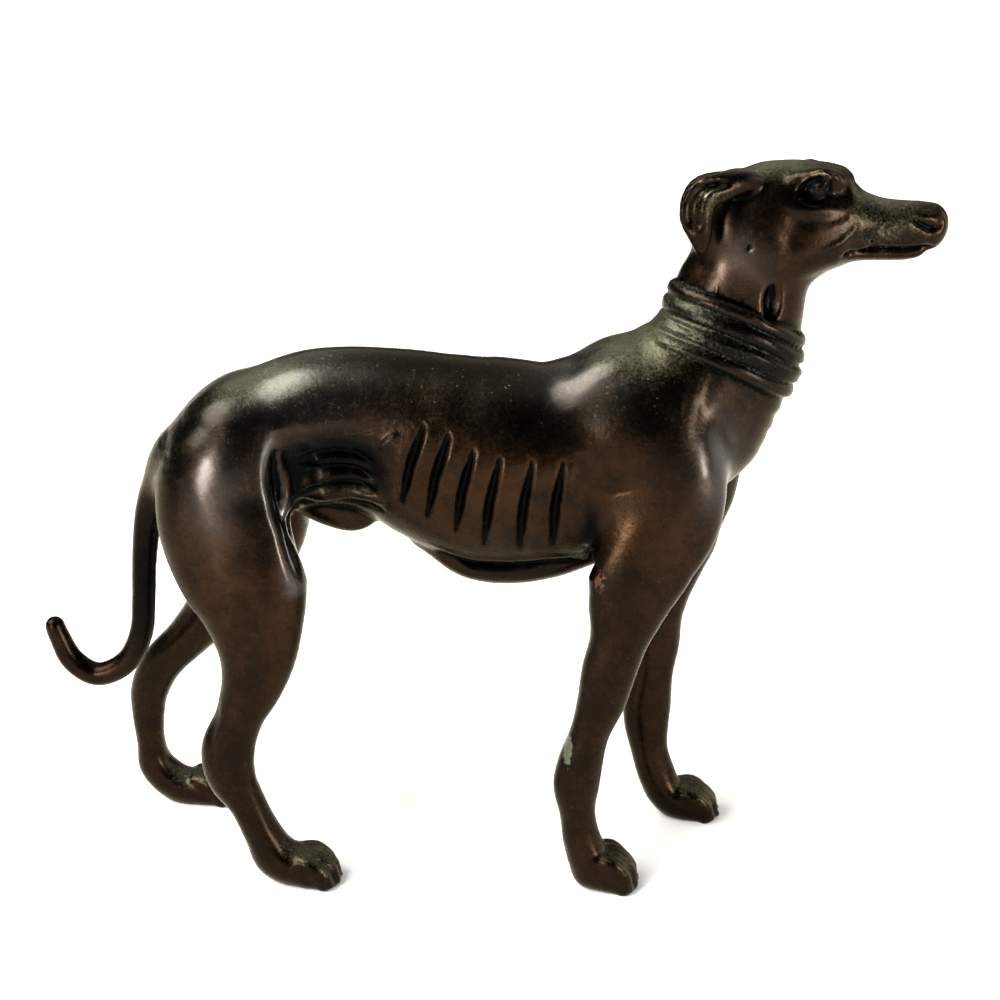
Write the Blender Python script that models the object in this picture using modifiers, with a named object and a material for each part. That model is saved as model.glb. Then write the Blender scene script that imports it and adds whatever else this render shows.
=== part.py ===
"""Greyhound statue, one bronze casting that stands on its four paws, with a ringed collar."""

import bmesh
import bpy
import numpy as np

# Overall length from the tail's bend to the nose, in metres
LENGTH = 0.165

# The pose and the carving below are in shares of the length: one unit is about a 165th of it

# Facets of the finished solid
FACES = 9600
COARSE_CELL = 1.3
FINE_CELL = 0.65

# Stance: how far each pair of paws stands from the middle
FORE_TRACK = 13.4
HIND_TRACK = 14.8

# Paws
TOE_GAP = 2.2
TOE_THICK = 1.5
PAW_RISE = 4.9

# Height of the ground in the figure's own measures
GROUND = -0.6

# Rings of the collar: height along the neck's slope, half its breadth, and how far each stands out
RINGS = ((116.0, 1.2, 0.95), (113.2, 1.5, 1.0), (109.9, 1.75, 1.0), (106.9, 1.2, 0.75))
RING_SLOPE = (0.375, 0.927)
RING_LIFT = 0.016

# Rib cuts in the flank: the top and the bottom of each, along and up
RIBS = (
    ((-12.9, 90.2), (-17.5, 74.6)),
    ((-8.5, 89.0), (-12.9, 72.0)),
    ((-4.1, 86.4), (-7.7, 69.5)),
    ((0.6, 85.2), (-2.5, 66.9)),
    ((6.3, 84.7), (4.0, 66.4)),
    ((11.7, 84.5), (10.1, 67.2)),
)
RIB_WIDTH = 0.9
RIB_DEPTH = 1.35
RIB_BOW = 0.5

# Folds of skin in the flank: how high each stands as a share of the fold height, and its line
FOLDS = (
    (0.6, ((-35.2, 80.6), (-32.5, 81.9), (-29.0, 82.4), (-25.6, 82.0), (-22.6, 80.2))),
    (1.0, ((-35.2, 75.8), (-32.6, 77.4), (-29.6, 78.6), (-26.0, 79.0), (-22.2, 77.9))),
    (0.85, ((-34.8, 72.9), (-31.5, 74.6), (-27.6, 75.4), (-23.6, 75.3), (-20.4, 74.2))),
)
FOLD_GAP = 1.7
FOLD_HEIGHT = 0.95

# Front edge of the thigh, from the flank down, and how far the pocket beside it drops
THIGH_RIM = (
    (-40.4, 88.6),
    (-40.2, 86.5),
    (-40.5, 82.8),
    (-40.2, 78.8),
    (-39.3, 74.4),
    (-38.0, 70.2),
    (-37.0, 65.2),
    (-35.8, 60.0),
)
POCKET_RIDGE = ((-38.6, 84.6), (-38.0, 80.6), (-37.0, 77.8), (-36.5, 74.7), (-36.3, 71.5))
RIM_DROP = 2.0
POCKET_DEPTH = 1.9


def smooth_path(rows, steps):
    """Rows of a smooth line through the given rows, with so many steps to a gap."""
    rows = np.asarray(rows, float)
    ends = np.vstack([2 * rows[0] - rows[1], rows, 2 * rows[-1] - rows[-2]])
    line = []
    for before, here, after, beyond in zip(ends, ends[1:], ends[2:], ends[3:]):
        for t in np.arange(steps) / steps:
            line.append(
                here
                + 0.5 * t * (after - before)
                + 0.5 * t**2 * (2 * before - 5 * here + 4 * after - beyond)
                + 0.5 * t**3 * (3 * here - before - 3 * after + beyond)
            )
    line.append(rows[-1])
    return np.array(line)


class Limb:
    """A tapering, oval-sectioned rod. Each row: along, across, up, then the front, back and side radius."""

    def __init__(self, rows, blend, steps=5):
        path = smooth_path(rows, steps)
        self.centre = path[:, :3]
        self.radius = np.maximum(path[:, 3:], 0.2)
        self.blend = blend
        self.run = np.diff(self.centre, axis=0)
        along = np.gradient(self.centre, axis=0)
        along /= np.linalg.norm(along, axis=1, keepdims=True)
        side = np.array([0.0, 1.0, 0.0]) - along * along[:, 1:2]
        side /= np.linalg.norm(side, axis=1, keepdims=True)
        self.frame = np.stack([np.cross(along, side), side, along], axis=2)
        reach = self.radius.max() + 7.0
        self.low = self.centre.min(axis=0) - reach
        self.high = self.centre.max(axis=0) + reach

    def distance(self, points):
        """How far the points stand outside the rod, for those near it."""
        found = np.full(len(points), 1e3)
        near = ((points > self.low) & (points < self.high)).all(axis=1)
        chosen = points[near]
        closest = np.full(len(chosen), np.inf)
        place = np.zeros(len(chosen))
        step = np.zeros(len(chosen), int)
        for i, run in enumerate(self.run):
            offset = chosen - self.centre[i]
            t = np.clip(offset @ run / (run @ run), 0.0, 1.0)
            away = ((offset - t[:, None] * run) ** 2).sum(axis=1)
            closer = away < closest
            closest[closer] = away[closer]
            place[closer] = t[closer]
            step[closer] = i
        t = place[:, None]
        offset = chosen - self.centre[step] - t * self.run[step]
        radius = self.radius[step] * (1.0 - t) + self.radius[step + 1] * t
        frame = self.frame[step] * (1.0 - t[:, :, None]) + self.frame[step + 1] * t[:, :, None]
        ahead, beside, beyond = np.einsum("ni,nij->jn", offset, frame)
        front = np.where(ahead > 0, radius[:, 0], radius[:, 1])
        side = radius[:, 2]
        share = np.sqrt((ahead / front) ** 2 + (beside**2 + beyond**2) / side**2)
        steep = np.sqrt((ahead / front**2) ** 2 + (beside**2 + beyond**2) / side**4)
        found[near] = share * (share - 1.0) / np.maximum(steep, 1e-6)
        return found

    def beads(self):
        """A ball for each step of the rod, to block it out."""
        for spot, radius, turn in zip(self.centre, self.radius, self.frame):
            tall = (radius[0] + radius[1]) / 2
            middle = spot + turn[:, 0] * (radius[0] - radius[1]) / 2
            yield turn * (tall, radius[2], radius[2]), middle


def mirrored(rows):
    return [(row[0], -row[1], *row[2:]) for row in rows]


def far_ear():
    """The ear on the other side, which hangs a little lower and further forward."""
    ahead, down = FAR_EAR_DROP
    return [(row[0] + ahead, -row[1], row[2] + down, *row[3:]) for row in EAR]


def paw(x, y, toe, rise=PAW_RISE):
    """The toes and the pad of one paw, from its knuckles at x to the toe tips."""
    ball = GROUND + 1.6
    limbs = [Limb([(x - 4.5, y, ball + 1.2, 2.6, 3.0, 3.4), (x + toe - 4.2, y, ball, 2.0, 2.4, 4.2)], 1.4)]
    for place in (-1.5, -0.5, 0.5, 1.5):
        across = y + place * TOE_GAP
        ahead = x + toe - 0.55 * place**2
        knuckle = GROUND + rise
        rows = (
            (x - 3.6, y + place * TOE_GAP * 0.7, knuckle + 0.6, 1.5, 1.8, TOE_THICK),
            (ahead - 4.3, across, knuckle, 1.9, 2.2, TOE_THICK),
            (ahead - 2.1, across, GROUND + rise * 0.55, 2.0, 2.0, TOE_THICK),
            (ahead - 1.6, across, GROUND + 0.9, 1.3, 1.5, TOE_THICK * 0.8),
        )
        limbs.append(Limb(rows, 0.3, steps=3))
    return limbs


# Trunk, from the rump to the chest
TRUNK = (
    (-56.5, 0, 78.0, 6.9, 9.0, 8.0),
    (-52.0, 0, 80.5, 10.7, 12.0, 10.8),
    (-46.5, 0, 82.5, 12.8, 13.0, 12.4),
    (-40.0, 0, 84.5, 13.6, 13.5, 12.4),
    (-33.0, 0, 86.3, 14.2, 15.0, 11.2),
    (-26.0, 0, 87.0, 14.0, 16.2, 10.6),
    (-19.0, 0, 86.0, 14.9, 17.6, 11.2),
    (-12.0, 0, 84.0, 16.4, 19.4, 12.5),
    (-5.0, 0, 82.0, 17.8, 20.6, 13.6),
    (2.0, 0, 81.0, 18.1, 20.6, 14.1),
    (9.0, 0, 81.0, 17.6, 20.0, 14.0),
    (16.0, 0, 82.5, 17.4, 19.0, 13.4),
    (23.0, 0, 85.0, 16.6, 18.0, 12.4),
    (30.0, 0, 87.0, 15.0, 17.0, 11.3),
    (34.2, 0, 86.4, 12.5, 14.2, 8.7),
)

KEEL = (
    (-14.0, 0, 64.6, 2.6, 2.0, 3.0),
    (-6.5, 0, 61.0, 3.4, 3.4, 5.0),
    (1.0, 0, 60.0, 3.4, 3.6, 5.6),
    (9.0, 0, 61.2, 3.4, 3.6, 5.6),
    (16.0, 0, 63.4, 3.4, 3.2, 5.0),
    (24.0, 0, 67.5, 3.4, 3.2, 4.6),
)

SHEATH = (
    (-37.0, 0, 71.6, 2.4, 2.4, 2.2),
    (-32.0, 0, 70.2, 2.6, 3.4, 2.6),
    (-27.2, 0, 69.8, 2.4, 3.8, 2.5),
    (-22.6, 0, 71.6, 2.0, 2.4, 2.0),
)

NECK = (
    (24.0, 0, 87.0, 13.2, 15.0, 11.0),
    (33.0, 0, 95.0, 12.6, 18.4, 10.4),
    (39.4, 0, 101.4, 11.9, 14.1, 9.3),
    (42.0, 0, 108.4, 12.6, 11.4, 8.5),
    (42.8, 0, 114.0, 11.6, 10.8, 8.0),
    (43.4, 0, 119.5, 9.2, 10.2, 7.6),
)

HEAD = (
    (40.6, 0, 125.0, 8.2, 7.5, 7.0),
    (44.5, 0, 124.6, 9.9, 9.6, 8.0),
    (49.3, 0, 124.0, 10.7, 9.4, 8.3),
    (54.4, 0, 124.0, 10.5, 9.2, 7.5),
    (57.5, 0, 124.0, 10.0, 8.1, 6.6),
    (59.3, 0, 124.0, 9.2, 7.4, 6.0),
    (60.6, 0, 124.0, 7.1, 6.8, 5.6),
    (62.4, 0, 124.0, 5.5, 6.5, 5.1),
    (65.5, 0, 124.0, 4.4, 6.4, 4.5),
    (69.5, 0, 124.0, 4.0, 6.3, 4.0),
    (72.2, 0, 124.0, 3.9, 5.8, 3.7),
    (73.7, 0, 124.0, 3.7, 4.5, 3.3),
)

BROW = (
    (50.4, -5.2, 132.0, 1.3, 1.3, 1.3),
    (53.8, -5.9, 132.9, 1.3, 1.3, 1.3),
    (56.4, -5.0, 132.0, 1.2, 1.2, 1.2),
)

EYE = (
    (53.5, -6.0, 130.9, 1.5, 1.5, 1.5),
    (53.9, -6.0, 130.7, 1.5, 1.5, 1.5),
)

JAW = (
    (46.0, -5.0, 119.4, 3.0, 3.0, 2.6),
    (51.5, -4.7, 119.8, 3.2, 3.2, 2.6),
    (56.5, -3.8, 120.2, 2.2, 2.2, 2.0),
)

EAR = (
    (44.0, -4.6, 130.6, 1.8, 1.8, 1.4),
    (41.0, -6.8, 131.5, 2.1, 2.1, 1.6),
    (37.2, -8.4, 130.9, 2.6, 2.6, 1.8),
    (34.3, -9.4, 129.6, 2.8, 3.0, 1.8),
    (33.3, -9.6, 126.6, 2.8, 3.1, 1.8),
    (33.9, -9.4, 123.2, 2.2, 2.2, 1.6),
    (34.2, -8.9, 120.9, 1.3, 1.3, 1.2),
)
EAR_DEPTH = 1.3
EAR_CUP = ((38.8, 131.9), (35.6, 131.8), (33.4, 130.8), (32.2, 128.6), (32.2, 126.2), (33.2, 123.6))
FAR_EAR_DROP = (1.2, -1.8)

TAIL = (
    (-53.0, 0, 84.6, 7.6, 6.0, 9.0),
    (-59.2, 0, 81.0, 5.6, 4.8, 6.6),
    (-63.3, 0, 75.4, 4.6, 3.3, 4.4),
    (-66.2, 0, 68.8, 2.9, 2.6, 2.8),
    (-67.7, 0, 60.0, 2.35, 2.35, 2.35),
    (-68.5, 0, 51.5, 2.3, 2.3, 2.3),
    (-69.6, 0, 44.0, 2.3, 2.3, 2.3),
    (-73.0, 0, 37.8, 2.3, 2.3, 2.3),
    (-78.8, 0, 35.0, 2.3, 2.3, 2.3),
    (-83.5, 0, 37.9, 2.25, 2.25, 2.25),
    (-85.8, 0, 43.2, 2.0, 2.0, 2.0),
    (-86.4, 0, 45.2, 1.9, 1.9, 1.9),
)

# Near legs, from the hip and the shoulder down to the paw
NEAR_HIND = (
    (-48.5, -5.0, 86.0, 7.5, 7.5, 7.6),
    (-49.6, -7.0, 80.0, 9.6, 11.0, 8.0),
    (-49.2, -8.6, 73.0, 11.6, 13.2, 7.8),
    (-47.2, -10.0, 66.5, 11.6, 13.6, 7.2),
    (-45.8, -11.4, 60.0, 11.4, 12.2, 6.5),
    (-44.6, -12.4, 53.3, 9.7, 9.4, 5.7),
    (-44.2, -13.2, 46.4, 7.5, 7.2, 5.0),
    (-45.4, -13.8, 40.0, 5.8, 5.7, 4.4),
    (-47.9, -14.2, 33.8, 4.5, 4.7, 3.9),
    (-50.5, -14.6, 27.2, 5.2, 4.9, 3.7),
    (-50.1, -14.8, 21.4, 4.8, 4.5, 3.3),
    (-47.6, -14.8, 16.0, 3.9, 3.3, 3.1),
    (-44.8, -14.8, 10.0, 3.6, 3.6, 3.5),
    (-41.4, -14.8, 5.0, 3.5, 5.2, 4.0),
    (-36.8, -14.8, 2.9, 3.4, 4.0, 4.3),
)

FAR_HIND = (
    (-48.5, 5.0, 86.0, 7.5, 7.5, 7.6),
    (-49.6, 7.0, 80.0, 9.6, 11.0, 8.0),
    (-49.6, 8.6, 73.0, 11.8, 12.0, 7.8),
    (-49.0, 10.0, 66.5, 11.6, 11.8, 7.2),
    (-50.4, 11.4, 59.0, 10.2, 10.0, 6.5),
    (-54.2, 12.4, 51.4, 7.8, 7.0, 5.6),
    (-59.0, 13.2, 44.4, 6.3, 4.9, 4.9),
    (-64.6, 13.8, 37.6, 5.0, 3.9, 4.2),
    (-70.2, 14.2, 31.4, 4.5, 3.9, 3.8),
    (-73.5, 14.6, 25.4, 4.3, 3.6, 3.6),
    (-74.3, 14.8, 19.4, 3.6, 3.1, 3.2),
    (-74.0, 14.8, 13.0, 2.9, 2.9, 3.1),
    (-72.3, 14.8, 7.8, 2.5, 4.8, 3.5),
    (-68.2, 14.8, 3.8, 2.7, 5.0, 4.1),
    (-63.5, 14.8, 2.8, 3.0, 4.0, 4.3),
)

NEAR_FORE = (
    (19.0, -5.0, 96.0, 6.5, 7.0, 4.6),
    (25.0, -8.0, 88.5, 9.0, 9.0, 5.4),
    (30.4, -9.6, 80.5, 9.6, 9.6, 5.4),
    (29.6, -10.6, 73.0, 10.0, 10.0, 5.2),
    (26.8, -11.4, 66.5, 9.2, 9.2, 4.9),
    (24.9, -12.0, 61.6, 8.5, 8.8, 4.7),
    (23.4, -12.4, 55.9, 6.8, 7.2, 4.5),
    (21.9, -12.6, 50.0, 5.4, 5.2, 4.1),
    (20.4, -12.8, 44.0, 5.0, 5.0, 3.9),
    (19.1, -13.0, 38.0, 4.5, 4.4, 3.7),
    (17.4, -13.1, 31.6, 3.5, 3.9, 3.3),
    (15.6, -13.2, 25.3, 4.2, 4.3, 3.5),
    (14.7, -13.3, 20.5, 4.5, 4.1, 3.5),
    (15.0, -13.4, 15.0, 3.6, 3.1, 3.0),
    (16.0, -13.4, 9.4, 3.8, 3.5, 3.5),
    (18.2, -13.4, 5.2, 3.8, 4.6, 4.1),
    (21.0, -13.4, 3.6, 4.0, 4.0, 4.3),
)

FAR_FORE = (
    (19.0, 5.0, 96.0, 6.5, 7.0, 4.6),
    (27.5, 8.0, 88.5, 9.0, 9.0, 5.4),
    (35.2, 9.6, 80.5, 9.0, 9.8, 5.4),
    (35.6, 10.6, 73.0, 8.9, 9.8, 5.2),
    (34.0, 11.4, 66.5, 8.4, 8.8, 4.9),
    (32.9, 12.0, 60.7, 8.2, 7.8, 4.7),
    (32.1, 12.4, 54.8, 6.6, 6.6, 4.5),
    (31.3, 12.8, 49.5, 5.3, 5.3, 4.1),
    (30.4, 13.2, 44.2, 5.0, 5.0, 3.9),
    (30.0, 13.4, 38.2, 5.1, 4.8, 3.7),
    (29.7, 13.6, 31.5, 4.3, 4.1, 3.3),
    (28.9, 13.7, 25.0, 5.0, 4.6, 3.5),
    (28.6, 13.8, 20.0, 5.0, 4.1, 3.5),
    (29.2, 13.8, 14.4, 4.4, 3.2, 3.1),
    (31.0, 13.8, 8.8, 4.3, 3.4, 3.4),
    (33.8, 13.8, 4.6, 3.6, 4.1, 4.1),
    (37.2, 13.8, 3.1, 3.2, 4.0, 4.3),
)


def figure():
    """Every limb of the greyhound, the trunk first."""
    limbs = [
        Limb(TRUNK, 0.0),
        Limb(NECK, 7.0),
        Limb(NEAR_HIND, 5.0),
        Limb(FAR_HIND, 5.0),
        Limb(NEAR_FORE, 4.0),
        Limb(FAR_FORE, 4.0),
        Limb(KEEL, 1.6),
        Limb(SHEATH, 1.6),
        Limb(TAIL, 3.0),
        Limb(HEAD, 4.0),
    ]
    for flip in (list, mirrored):
        limbs.append(Limb(flip(JAW), 2.5))
        limbs.append(Limb(flip(BROW), 2.0))
        limbs.append(Limb(flip(EYE), 0.3))
    limbs.append(Limb(EAR, 0.9))
    limbs.append(Limb(far_ear(), 0.9))
    limbs += paw(-34.5, -HIND_TRACK, 4.7)
    limbs += paw(-61.0, HIND_TRACK, 4.9)
    limbs += paw(22.4, -FORE_TRACK, 4.7, rise=6.2)
    limbs += paw(39.8, FORE_TRACK + 0.4, 4.7, rise=5.4)
    return limbs


def nearness(points, line):
    """From the side: distance to a line, which side of it, and the share of it passed at the nearest spot."""
    flat = points[:, [0, 2]]
    line = np.asarray(line, float)
    lengths = np.linalg.norm(np.diff(line, axis=0), axis=1)
    total = lengths.sum()
    best = np.full(len(points), 1e3)
    place = np.zeros(len(points))
    hand = np.zeros(len(points))
    passed = 0.0
    for start, end, length in zip(line, line[1:], lengths):
        run = end - start
        offset = flat - start
        t = np.clip(offset @ run / (run @ run), 0.0, 1.0)
        away = np.linalg.norm(offset - t[:, None] * run, axis=1)
        closer = away < best
        best = np.where(closer, away, best)
        place = np.where(closer, (passed + t * length) / total, place)
        hand = np.where(closer, np.sign(run[0] * offset[:, 1] - run[1] * offset[:, 0]), hand)
        passed += length
    return best, hand, place


def cut(points, line, width, depth, fade=0.35, inner=3.0):
    """Depth of a carved groove on both flanks, tapering to its ends."""
    away, _, place = nearness(points, line)
    ends = np.clip(np.minimum(place, 1.0 - place) / fade, 0.0, 1.0)
    spread = np.exp(-((away / (width * (0.45 + 0.55 * ends))) ** 2))
    shown = np.clip((np.abs(points[:, 1]) - inner) / 0.8, 0.0, 1.0)
    return depth * np.sqrt(ends) * spread * shown


def bump(points, spot, radius):
    """A round weight of 1 at the spot, on both sides."""
    offset = np.column_stack([points[:, 0], np.abs(points[:, 1]), points[:, 2]]) - spot
    return np.exp(-((offset / radius) ** 2).sum(axis=1))


def basin(points, spot, radius):
    """Like a bump, but level inside and steep at its edge."""
    offset = np.column_stack([points[:, 0], np.abs(points[:, 1]), points[:, 2]]) - spot
    return np.exp(-(((offset / radius) ** 2).sum(axis=1) ** 2))


def shelf(points, line, edge, reach):
    """A weight that steps up just past a line, on its left as it runs, and dies away over a reach."""
    away, hand, place = nearness(points, line)
    past = away * hand
    step = np.clip(past / edge + 0.5, 0.0, 1.0)
    ends = np.clip(np.minimum(place, 1.0 - place) / 0.3, 0.0, 1.0)
    fall = np.exp(-((np.maximum(past, 0.0) / reach) ** 2))
    return step**2 * (3 - 2 * step) * fall * ends * (np.abs(points[:, 1]) > 4)


def rings(points):
    """How far the collar's rings stand out of the neck."""
    slope = points[:, 0] * RING_SLOPE[0] + points[:, 2] * RING_SLOPE[1]
    height = slope - RING_LIFT * points[:, 1] ** 2
    out = np.zeros(len(points))
    for middle, half, size in RINGS:
        share = np.clip(1.0 - ((height - middle) / half) ** 2, 0.0, None)
        out = np.maximum(out, size * share**0.75)
    around = np.clip((points[:, 0] - 27.0) / 3.0, 0.0, 1.0) * (points[:, 0] < 60)
    return out * around


def flank(points):
    """Depth of the rib cuts, the pocket in front of the thigh, its folds and the groove over the keel."""
    depth = np.zeros(len(points))
    for top, bottom in RIBS:
        middle = ((top[0] + bottom[0]) / 2 - RIB_BOW, (top[1] + bottom[1]) / 2)
        depth += cut(points, (top, middle, bottom), RIB_WIDTH, RIB_DEPTH)
    depth += POCKET_DEPTH * basin(points, (-28.6, 10.5, 80.6), (8.6, 6.0, 6.8))
    for share, fold in FOLDS:
        depth -= cut(points, fold, 1.0, share * FOLD_HEIGHT, fade=0.25)
        depth += cut(points, np.array(fold) - (0.0, FOLD_GAP), 0.7, 0.8 * share * FOLD_HEIGHT, fade=0.2)
    depth += RIM_DROP * shelf(points, THIGH_RIM, 1.4, 4.0)
    depth += 0.8 * POCKET_DEPTH * basin(points, (-36.0, 10.5, 80.0), (3.4, 6.0, 7.4))
    depth -= cut(points, POCKET_RIDGE, 0.95, 1.2, fade=0.3)
    keel = ((-12.0, 64.4), (-4.7, 61.7), (2.0, 61.9), (9.0, 62.8), (16.5, 62.6))
    depth += cut(points, keel, 0.8, 1.0, inner=3.5)
    return depth


def carving(points):
    """Depth cut into the form, which is negative where it stands out."""
    depth = flank(points) + face(points) - rings(points)
    depth += EAR_DEPTH * ear_hollow(points)
    depth += 1.5 * basin(points, (46.8, 7.6, 111.6), (1.35, 4.0, 2.9))
    return depth


def face(points):
    """Depth of the mouth, nostrils, eye sockets and cheeks."""
    mouth = ((62.0, 119.5), (66.0, 119.7), (71.0, 119.7), (74.0, 120.2))
    depth = cut(points, mouth, 0.85, 1.1, fade=0.2, inner=0.6)
    depth += cut(points, ((58.5, 119.1), (61.5, 119.4), (65.0, 119.7)), 0.6, 0.6, inner=0.6)
    nostril = ((69.6, 126.9), (70.3, 125.5), (71.9, 124.4), (73.6, 123.6), (75.0, 124.0))
    depth += cut(points, nostril, 0.6, 0.7, inner=0.6)
    depth += 0.9 * bump(points, (53.2, 7.0, 130.2), (2.9, 2.6, 1.8))
    depth -= 0.6 * bump(points, (53.2, 6.4, 130.0), (1.35, 3.0, 1.1))
    depth += cut(points, ((48.6, 126.0), (51.6, 124.9), (56.0, 124.8), (60.0, 124.9)), 1.0, 0.35)
    depth -= cut(points, ((47.8, 127.4), (50.0, 126.4), (53.0, 126.1), (57.0, 126.2)), 1.0, 0.3)
    depth -= cut(points, ((54.8, 120.3), (57.8, 121.2), (60.4, 123.5)), 0.8, 0.35)
    depth += 0.5 * bump(points, (49.4, 8.0, 122.4), (2.6, 3.0, 3.4))
    return depth


def ear_hollow(points):
    """A weight of 1 in the cup between the ear's rim and its folded flap."""
    inside = np.zeros(len(points))
    for side, along, up in ((-1.0, 0.0, 0.0), (1.0, *FAR_EAR_DROP)):
        away, _, place = nearness(points, np.array(EAR_CUP) + (along, up))
        width = 0.7 + 0.6 * np.clip((place - 0.25) / 0.3, 0.0, 1.0)
        ends = np.clip(np.minimum(place, 1.0 - place) / 0.15, 0.0, 1.0)
        outer = np.clip(side * points[:, 1] - 8.4, 0.0, 1.0)
        inside += np.exp(-((away / width) ** 4)) * ends * outer
    return inside


def form(points, limbs):
    """How far the points stand outside the blended figure."""
    total = np.full(len(points), 1e3)
    for limb in limbs:
        other = limb.distance(points)
        if limb.blend:
            share = np.clip(1.0 - np.abs(total - other) / limb.blend, 0.0, None)
            total = np.minimum(total, other) - share**2 * limb.blend / 4
        else:
            total = np.minimum(total, other)
    return total


def block_out(limbs):
    """Balls along every limb, in one mesh."""
    shape = bmesh.new()
    bmesh.ops.create_icosphere(shape, subdivisions=2, radius=1.0)
    ball = np.array([vertex.co[:] for vertex in shape.verts])
    faces = np.array([[vertex.index for vertex in face.verts] for face in shape.faces])
    shape.free()
    places = [place for limb in limbs for place in limb.beads()]
    points = [ball @ turn.T + spot for turn, spot in places]
    joined = [faces + len(ball) * i for i in range(len(places))]
    mesh = bpy.data.meshes.new("blocks")
    mesh.from_pydata(np.concatenate(points).tolist(), [], np.concatenate(joined).tolist())
    return mesh


def with_modifier(mesh, kind, **settings):
    """The mesh as one modifier leaves it."""
    obj = bpy.data.objects.new("step", mesh)
    bpy.context.scene.collection.objects.link(obj)
    modifier = obj.modifiers.new(kind.title(), kind)
    for name, value in settings.items():
        setattr(modifier, name, value)
    graph = bpy.context.evaluated_depsgraph_get()
    done = bpy.data.meshes.new_from_object(obj.evaluated_get(graph))
    bpy.data.objects.remove(obj)
    return done


def remeshed(mesh, cell):
    return with_modifier(mesh, "REMESH", mode="VOXEL", voxel_size=cell, adaptivity=0.0)


def spots_and_normals(mesh):
    count = len(mesh.vertices) * 3
    spots, normals = np.empty(count, np.float32), np.empty(count, np.float32)
    mesh.vertices.foreach_get("co", spots)
    mesh.vertex_normals.foreach_get("vector", normals)
    return spots.reshape(-1, 3), normals.reshape(-1, 3)


def lower(mesh, depth):
    """Sink each vertex along its normal by its own depth."""
    spots, normals = spots_and_normals(mesh)
    spots = spots - depth[:, None] * normals
    mesh.vertices.foreach_set("co", spots.astype(np.float32).reshape(-1))
    mesh.update()


def settle(mesh, limbs, rounds):
    """Move each vertex along its normal onto the form, in steps of no more than a cell."""
    for _ in range(rounds):
        spots, _ = spots_and_normals(mesh)
        lower(mesh, np.clip(form(spots, limbs), -COARSE_CELL, COARSE_CELL))


def sculpted():
    limbs = figure()
    mesh = remeshed(block_out(limbs), COARSE_CELL)
    settle(mesh, limbs, 3)
    mesh = remeshed(mesh, FINE_CELL)
    settle(mesh, limbs, 4)
    mesh = with_modifier(mesh, "SMOOTH", factor=0.4, iterations=1)
    lower(mesh, carving(spots_and_normals(mesh)[0]))
    mesh.calc_loop_triangles()
    ratio = FACES / len(mesh.loop_triangles)
    return with_modifier(mesh, "DECIMATE", ratio=ratio)


def flat_soles(mesh):
    """Cut the paws level with the ground and close them."""
    shape = bmesh.new()
    shape.from_mesh(mesh)
    everything = shape.verts[:] + shape.edges[:] + shape.faces[:]
    bmesh.ops.bisect_plane(
        shape, geom=everything, plane_co=(0, 0, GROUND), plane_no=(0, 0, 1), clear_inner=True
    )
    rim = [edge for edge in shape.edges if edge.is_boundary]
    bmesh.ops.triangulate(shape, faces=bmesh.ops.holes_fill(shape, edges=rim, sides=0)["faces"])
    bmesh.ops.recalc_face_normals(shape, faces=shape.faces[:])
    shape.to_mesh(mesh)
    shape.free()


def centred(mesh):
    """In metres, with the middle of the box's underside at the origin, and the length exact."""
    spots = np.empty(len(mesh.vertices) * 3)
    mesh.vertices.foreach_get("co", spots)
    points = spots.reshape(-1, 3)
    low, high = points.min(axis=0), points.max(axis=0)
    middle = np.array([(low[0] + high[0]) / 2, (low[1] + high[1]) / 2, low[2]])
    points = (points - middle) * LENGTH / (high[0] - low[0])
    mesh.vertices.foreach_set("co", points.reshape(-1))
    mesh.update()


def bronze():
    material = bpy.data.materials.new("bronze")
    material.use_nodes = True
    shader = material.node_tree.nodes["Principled BSDF"]
    shader.inputs["Base Color"].default_value = (0.11, 0.065, 0.04, 1.0)
    shader.inputs["Metallic"].default_value = 1.0
    shader.inputs["Roughness"].default_value = 0.4
    return material


def main():
    for obj in list(bpy.data.objects):
        bpy.data.objects.remove(obj)
    mesh = sculpted()
    flat_soles(mesh)
    centred(mesh)
    mesh.name = "greyhound"
    mesh.materials.clear()
    mesh.materials.append(bronze())
    statue = bpy.data.objects.new("greyhound", mesh)
    parts = bpy.data.collections.new("greyhound statue")
    bpy.context.scene.collection.children.link(parts)
    parts.objects.link(statue)


if __name__ == "__main__":
    main()
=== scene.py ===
"""A vintage cast bronze greyhound on its four paws, with a ringed collar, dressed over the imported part."""

import math

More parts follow.
